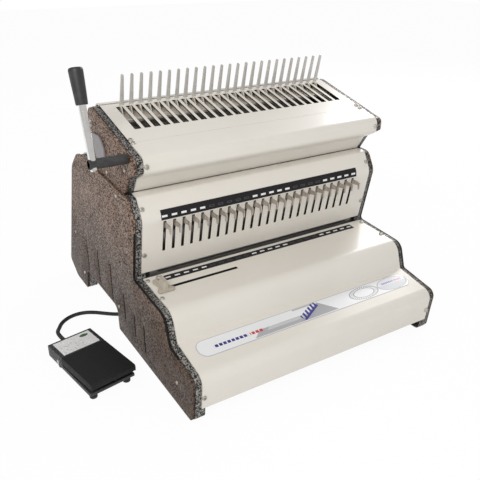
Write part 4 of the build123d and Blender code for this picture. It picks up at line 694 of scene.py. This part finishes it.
def screw_places(node):
    """Centre of the head's seat and outward axis of each screw of a node, in millimetres."""
    mesh = bmesh.new()
    mesh.from_mesh(NODES[node].data)
    bmesh.ops.remove_doubles(mesh, verts=mesh.verts, dist=1e-6)
    left, places = set(mesh.verts), []
    for first in mesh.verts:
        if first not in left:
            continue
        left.remove(first)
        group, queue = [], [first]
        while queue:
            vertex = queue.pop()
            group.append(vertex)
            for edge in vertex.link_edges:
                other = edge.other_vert(vertex)
                if other in left:
                    left.remove(other)
                    queue.append(other)
        points = np.array([v.co for v in group]) / MM
        middle = points.mean(0)
        values, vectors = np.linalg.eigh(np.cov((points - middle).T))
        odd = 0 if abs(values[1] - values[0]) > abs(values[2] - values[1]) else 2
        axis = vectors[:, odd]
        height = (points - middle) @ axis
        radius = np.linalg.norm((points - middle) - np.outer(height, axis), axis=1)
        wide = radius > radius.max() - 0.2
        if height[wide].mean() < 0:
            axis, height = -axis, -height
        places.append((middle + axis * height[wide].min(), axis))
    mesh.free()
    return places


def screw_head(radius, height, recess):
    """A domed head with a cross or a hexagon cut into it."""
    crown, depth = height * 0.62, height * 0.8
    head = begin(
        bpy.ops.mesh.primitive_cylinder_add,
        vertices=24,
        radius=radius * MM,
        depth=height * MM,
        location=(0, 0, height / 2 * MM),
    )
    bpy.ops.object.transform_apply(location=True)
    with Editing(head) as edit:
        edit.pick("edges", flat_at(height * MM))
        bpy.ops.mesh.bevel(offset=crown * MM, segments=3, profile=0.55)
    if recess == "cross":
        cutters = []
        for turn in (0.4, 0.4 + math.pi / 2):
            bar = begin(bpy.ops.mesh.primitive_cube_add, size=1)
            size = (radius * 1.15 * MM, radius * 0.28 * MM, depth * 2 * MM, 1)
            bar.data.transform(Matrix.Diagonal(size))
            bar.data.transform(Matrix.Rotation(turn, 4, "Z"))
            cutters.append(bar)
    else:
        sizes = {"radius": radius * 0.52 * MM, "depth": depth * 2 * MM}
        cutters = [begin(bpy.ops.mesh.primitive_cylinder_add, vertices=6, **sizes)]
    for cutter in cutters:
        cutter.data.transform(Matrix.Translation((0, 0, (height + 0.35 * depth) * MM)))
        apply_modifier(head, "BOOLEAN", operation="DIFFERENCE", object=cutter, solver="EXACT")
        bpy.data.objects.remove(cutter)
    smooth(head, 40)
    return head


for node, radius, height, recess in (
    ("cover_screws", 3.25, 2.1, "cross"),
    ("casing_screws", 2.5, 2.1, "hexagon"),
):
    pattern = screw_head(radius, height, recess)
    copies = [
        copied(pattern, framed(centre, axis, (0.2, 0.1, 1)) @ Matrix.Rotation(number * 0.9, 4, "Z"))
        for number, (centre, axis) in enumerate(screw_places(node))
    ]
    bpy.data.objects.remove(pattern)
    name = node.replace("screws", "screw_heads")
    finish_piece(joined(copies), name, "machine", SCREW_ZINC, [node])


# ---------------------------------------------------------------- housings

PANEL_EDGE, STRIP_EDGE = 1.1, 0.9
# The right-hand strips take the darker copy of the black hammer finish, as painted shade
for side, black in (("left", BLACK_HAMMER), ("right", BLACK_HAMMER_PAINTED_SHADE)):
    for level in ("lower", "upper"):
        panel, strip = f"{level}_side_panel_{side}", f"{level}_side_strip_{side}"
        softened(f"{level}_casing_{side}", PANEL_EDGE, panel, "machine", BROWN_HAMMER)
        softened(f"{level}_frame_{side}", STRIP_EDGE, strip, "machine", black)

softened("stop_plate", 0.5, "stop_plate_rounded", "machine", PLATE_STEEL)
softened("side_guide", 0.6, "guide_body", "guide", GUIDE_PLASTIC)
softened("pedal_base", 0.9, "pedal_casting", "machine", PEDAL_BLACK)
softened("pedal_flap", 1.2, "pedal_tread_flap", "flap", PEDAL_TREAD, segments=3)
softened("power_inlet", 0.4, "power_inlet_rounded", "machine", CASE_BLACK)
softened("switch_housing", 0.4, "switch_housing_rounded", "machine", CASE_BLACK)
softened("rocker", 0.4, "rocker_rounded", "switch_rocker", CASE_BLACK)
softened("chip_drawer", 0.5, "chip_drawer_rounded", "drawer", CASE_BLACK)
softened("mid_carriage", 0.25, "mid_hooks_rounded", "mid_hooks", SPRUNG_STEEL, segments=1)
softened("prong_comb", 0.3, "prongs_rounded", "machine", PRONG_STEEL)

for name in NODES:
    if not NODES[name].hide_render:
        smooth(NODES[name], 30)


# ---------------------------------------------------------------- small parts

THROAT_Y, THROAT_Z = 172.4, 130.9
throat_screw = screw_head(1.2, 1.0, "cross")
heads = [
    copied(throat_screw, framed((x, THROAT_Y, THROAT_Z), (0, -1, 0)) @ Matrix.Rotation(x * 0.1, 4, "Z"))
    for x in (-138, -69, 69, 138)
]
bpy.data.objects.remove(throat_screw)
finish_piece(joined(heads), "throat_screw_heads", "machine", SCREW_ZINC)

plugs = []
for y, z in ((190.6, 155.6), (195.1, 138.4), (222.4, 130.5)):
    plug = turned([(0, -0.4), (1.7, -0.4), (1.7, 0.3), (1.2, 0.6), (0, 0.6)], 20)
    plugs.append(settle(plug, framed((-CASING_FACE, y, z), (-1, 0, 0))))
finish_piece(joined(plugs), "casing_plugs", "machine", CASE_BLACK)

knob_axis = Vector((0, -0.0733, 0.99731)).normalized()
knob_foot = Vector((-0.182, 0.1443, 0.1349))
lowest = min(knob_axis.dot(vertex.co) for vertex in NODES["guide_knob"].data.vertices)
knob_foot += knob_axis * (lowest - knob_axis.dot(knob_foot))
shoulder = [(0, 0), (2.5, 0), (2.5, 0.9), (3.7, 0.9)]
rim = [(4.2, 1.3), (4.2, 3.4)]
crown = [(3.8, 3.8), (2.6, 3.8), (2.3, 3.3), (0, 3.3)]
thumb = turned(shoulder + rim + crown, RIM_STEPS)
with Editing(thumb) as edit:
    edit.pick("verts", lambda v: v.co.xy.length > 4.0 * MM and on_flute(v, 2))
    bpy.ops.transform.resize(value=(0.94, 0.94, 1))
thumb = settle(thumb, framed(knob_foot / MM, knob_axis, (0, 1, 0)))
finish_piece(thumb, "guide_thumbscrew", "knob", THUMB_ZINC, ["guide_knob"])


# ---------------------------------------------------------------- lever

LEVER_TOP = 114.8
GRIP_FOOT = 71.0
lever_way = (0, math.sin(LEVER_LEAN), math.cos(LEVER_LEAN))
lever_place = framed((-250, HUB_Y, HUB_Z), lever_way)

grip = turned(
    [
        (0, GRIP_FOOT),
        (6.6, GRIP_FOOT),
        (7.3, GRIP_FOOT + 0.7),
        (7.5, GRIP_FOOT + 2.4),
        (7.9, GRIP_FOOT + 12),
        (8.5, GRIP_FOOT + 26),
        (8.9, GRIP_FOOT + 38),
        (8.9, LEVER_TOP - 3.6),
        (8.5, LEVER_TOP - 1.8),
        (7.6, LEVER_TOP - 0.7),
        (6.2, LEVER_TOP - 0.2),
        (0, LEVER_TOP),
    ],
    RIM_STEPS,
)
grip = settle(grip, lever_place)
finish_piece(grip, "grip_sleeve", "lever", GRIP_BLACK, ["lever_grip"])

HUB_RADIUS, HUB_EDGE, HUB_LENGTH = 6.55, 0.9, 47.6
hub = begin(
    bpy.ops.mesh.primitive_circle_add, vertices=RIM_STEPS, radius=HUB_RADIUS * MM, fill_type="NGON"
)
with Editing(hub) as edit:
    edit.pick("verts", lambda v: on_flute(v, 4))
    bpy.ops.transform.resize(value=(0.93, 0.93, 1))
    edit.pick("faces", lambda face: True)
    for travel, size in ((HUB_EDGE, 1.0), (HUB_LENGTH, 1.0), (HUB_EDGE, 0.9)):
        bpy.ops.mesh.extrude_region_move(TRANSFORM_OT_translate={"value": (0, 0, travel * MM)})
        bpy.ops.transform.resize(value=(size, size, 1))
    edit.pick("faces", flat_at(0))
    bpy.ops.transform.resize(value=(0.88, 0.88, 1))
    edit.all()
    bpy.ops.mesh.normals_make_consistent(inside=False)
smooth(hub, 30)
hub = settle(hub, framed((-256, HUB_Y, HUB_Z), (1, 0, 0)))
finish_piece(hub, "hub_sleeve", "lever", HUB_BLACK)


# ---------------------------------------------------------------- pedal


def pedal_point(x, y, z):
    """A point of the pedal in the machine's frame, from its rear left corner."""
    cosine, sine = math.cos(PEDAL_TURN), math.sin(PEDAL_TURN)
    return (PEDAL_CORNER[0] + x * cosine + y * sine, PEDAL_CORNER[1] + x * sine - y * cosine, z)


PEDAL_BACK = (-math.sin(PEDAL_TURN), math.cos(PEDAL_TURN), 0)
GLAND_X, GLAND_Z, GLAND_LENGTH = 29.5, 16.0, 12.0
ribs = []
for ring in range(5):
    at, size = 1.0 + ring * 2.2, 4.7 - ring * 0.3
    ribs += [(size, at), (size, at + 1.2), (size - 0.7, at + 1.5), (size - 0.7, at + 1.9)]
gland = turned([(0, 0), (4.9, 0), (4.9, 0.8)] + ribs + [(3.3, GLAND_LENGTH), (0, GLAND_LENGTH)], 32)
gland = settle(gland, framed(pedal_point(GLAND_X, 0, GLAND_Z), PEDAL_BACK))
finish_piece(gland, "pedal_strain_relief", "machine", RUBBER, ["pedal_gland"])

feet = []
for x in (8.0, 58.8):
    for y in (24.0, 112.0):
        foot = turned([(0, 0), (4.4, 0), (5.1, 0.5), (5.4, 1.6), (5.4, 7.6), (5.0, 8.8), (0, 8.8)], 28)
        feet.append(settle(foot, Matrix.Translation(Vector(pedal_point(x, y, 0)) * MM)))
finish_piece(joined(feet), "pedal_feet_round", "machine", RUBBER, ["pedal_feet"])

pin = turned([(0, 0), (3.2, 0), (3.2, 0.9), (2.5, 1.6), (0, 1.9)], 28)
pin_place = framed(pedal_point(0, 32, 16.5), (-math.cos(PEDAL_TURN), -math.sin(PEDAL_TURN), 0))
finish_piece(settle(pin, pin_place), "pedal_pin_head", "machine", STEEL)


# ---------------------------------------------------------------- cord

gland_end = pedal_point(GLAND_X, -GLAND_LENGTH, GLAND_Z)
lead_points = [
    gland_end,
    pedal_point(GLAND_X, -GLAND_LENGTH - 14, GLAND_Z),
    (-299.0, 272.0, 12.8),
    (-291.3, 289.5, 7.0),
    (-285.6, 302.3, 4.2),
    (-276.9, 312.0, CORD_FLOOR),
    (-265.4, 318.1, CORD_FLOOR),
    (-252.5, 319.9, CORD_FLOOR),
    (-239.8, 317.2, CORD_FLOOR),
    (-227.7, 310.2, CORD_FLOOR),
    (-216.5, 300.1, CORD_FLOOR),
    (-200.5, 286.6, CORD_FLOOR),
    (-181.0, 277.4, CORD_FLOOR),
    (-157.0, 272.9, CORD_FLOOR),
    (-134.0, 272.0, CORD_FLOOR),
]
COIL_CENTRE = (-108.0, 316.0)
COIL_RADIUS, COIL_PITCH, COIL_HALF_TURNS, COIL_STEPS = 44.0, 6.8, 6, 7


def coil_points():
    """Control points of the flat coil: inwards on the floor, up one layer and outwards again."""
    points = []
    reach = 1 / math.cos(math.pi / 2 / COIL_STEPS)
    here, heading, total = COIL_RADIUS, 1, 2 * COIL_HALF_TURNS + 1
    for half in range(total):
        inward = min(half, total - 1 - half)
        radius = COIL_RADIUS - inward * COIL_PITCH / 2
        middle = here - heading * radius
        for step in range(COIL_STEPS):
            share = (step + 0.5) / COIL_STEPS
            angle = math.pi * share
            across = middle + heading * radius * reach * math.cos(angle)
            along = heading * radius * reach * math.sin(angle)
            level = 0.0 if half < COIL_HALF_TURNS else 1.0
            if half == COIL_HALF_TURNS:
                level = share
            height = CORD_FLOOR + level * COIL_PITCH
            points.append((COIL_CENTRE[0] + along, COIL_CENTRE[1] - across, height))
        here, heading = here - heading * 2 * radius, -heading
    return points


TAIL_X, TAIL_Y = COIL_CENTRE[0] - 32.0, COIL_CENTRE[1] + COIL_RADIUS
LAYER_TOP = CORD_FLOOR + COIL_PITCH
tail_points = [
    (COIL_CENTRE[0] - 19.0, TAIL_Y, LAYER_TOP),
    (TAIL_X, TAIL_Y, LAYER_TOP + 12.5),
    (TAIL_X, TAIL_Y, 36.0),
]
cord_data = bpy.data.curves.new("pedal_cord", "CURVE")
cord_data.dimensions = "3D"
cord_data.bevel_depth = CORD_DIAMETER / 2 * MM
cord_data.bevel_resolution = 5
cord_data.resolution_u = 6
spline = cord_data.splines.new("NURBS")
route = lead_points + coil_points() + tail_points
spline.points.add(len(route) - 1)
for control, point in zip(spline.points, route):
    control.co = (*(Vector(point) * MM), 1)
spline.order_u = 3
spline.use_endpoint_u = True
cord = bpy.data.objects.new("pedal_cord", cord_data)
bpy.context.scene.collection.objects.link(cord)
finish_piece(cord, "pedal_cord", "machine", RUBBER, ["cord_lead", "cord_coil", "cord_tail"])


# ---------------------------------------------------------------- stage and camera

FLOOR_WHITE, WORLD_LIGHT = 0.95, 0.59
floor = begin(bpy.ops.mesh.primitive_plane_add, size=12)
floor.name = "studio_floor"
floor_finish = Finish("studio_floor", roughness=0.9)
floor_tone = floor_finish.noise(3, 2.0, 0.5)
floor_finish.put(**{"Base Color": floor_finish.mix(floor_tone, (0.95, 0.95, 0.95), (0.93, 0.93, 0.93))})
path = floor_finish.add("ShaderNodeLightPath")
white = floor_finish.add("ShaderNodeEmission", {}, (1, 1, 1, 1), 1.0)
seen = Channel(floor_finish, path.outputs["Is Camera Ray"]).either(
    Channel(floor_finish, path.outputs["Is Glossy Ray"])
)
blend = floor_finish.add("ShaderNodeMixShader", {}, seen * FLOOR_WHITE)
floor_finish.links.new(floor_finish.shader.outputs[0], blend.inputs[1])
floor_finish.links.new(white.outputs[0], blend.inputs[2])
floor_finish.links.new(blend.outputs[0], floor_finish.nodes["Material Output"].inputs["Surface"])
dress(floor, floor_finish.material)

world = bpy.data.worlds.new("studio")
world.use_nodes = True
bpy.context.scene.world = world
sky = world.node_tree
background = sky.nodes["Background"]
light_path = sky.nodes.new("ShaderNodeLightPath")
strength = sky.nodes.new("ShaderNodeMapRange")
strength.inputs["To Min"].default_value = WORLD_LIGHT
strength.inputs["To Max"].default_value = 1.0
sky.links.new(light_path.outputs["Is Camera Ray"], strength.inputs["Value"])
sky.links.new(strength.outputs[0], background.inputs["Strength"])
background.inputs["Color"].default_value = (1, 1, 1, 1)


def softbox(name, place, target, size, power):
    data = bpy.data.lights.new(name, "AREA")
    data.shape = "RECTANGLE"
    data.size, data.size_y = size
    data.energy = power
    lamp = bpy.data.objects.new(name, data)
    bpy.context.scene.collection.objects.link(lamp)
    way = Vector(place) - Vector(target)
    lamp.matrix_world = Matrix.Translation(place) @ way.to_track_quat("Z", "Y").to_matrix().to_4x4()


softbox("key", place=(-0.95, -0.75, 1.15), target=(-0.05, 0.15, 0.15), size=(0.8, 0.8), power=12)
softbox("back_rim", place=(1.85, 1.25, 1.4), target=(0.1, 0.2, 0.2), size=(0.6, 0.6), power=17)

VIEW_AZIMUTH, VIEW_ELEVATION, VIEW_ROLL = math.radians(-31.94), math.radians(25.67), math.radians(0.39)
VIEW_PLACE = (-0.4671, -0.5198, 0.5351)
PHOTO_WIDTH, FOCAL_PIXELS, SENSOR = 480, 600.9, 36.0
back = Vector(
    (
        math.sin(VIEW_AZIMUTH) * math.cos(VIEW_ELEVATION),
        -math.cos(VIEW_AZIMUTH) * math.cos(VIEW_ELEVATION),
        math.sin(VIEW_ELEVATION),
    )
)
right = Vector((math.cos(VIEW_AZIMUTH), math.sin(VIEW_AZIMUTH), 0))
above = back.cross(right)
x_axis = math.cos(VIEW_ROLL) * right + math.sin(VIEW_ROLL) * above
y_axis = math.cos(VIEW_ROLL) * above - math.sin(VIEW_ROLL) * right
camera_data = bpy.data.cameras.new("camera")
camera_data.sensor_width = SENSOR
camera_data.lens = SENSOR * FOCAL_PIXELS / PHOTO_WIDTH
camera = bpy.data.objects.new("camera", camera_data)
bpy.context.scene.collection.objects.link(camera)
placed = Matrix((x_axis, y_axis, back)).transposed().to_4x4()
placed.translation = VIEW_PLACE
camera.matrix_world = placed
bpy.context.scene.camera = camera
bpy.context.scene.view_settings.view_transform = "Standard"
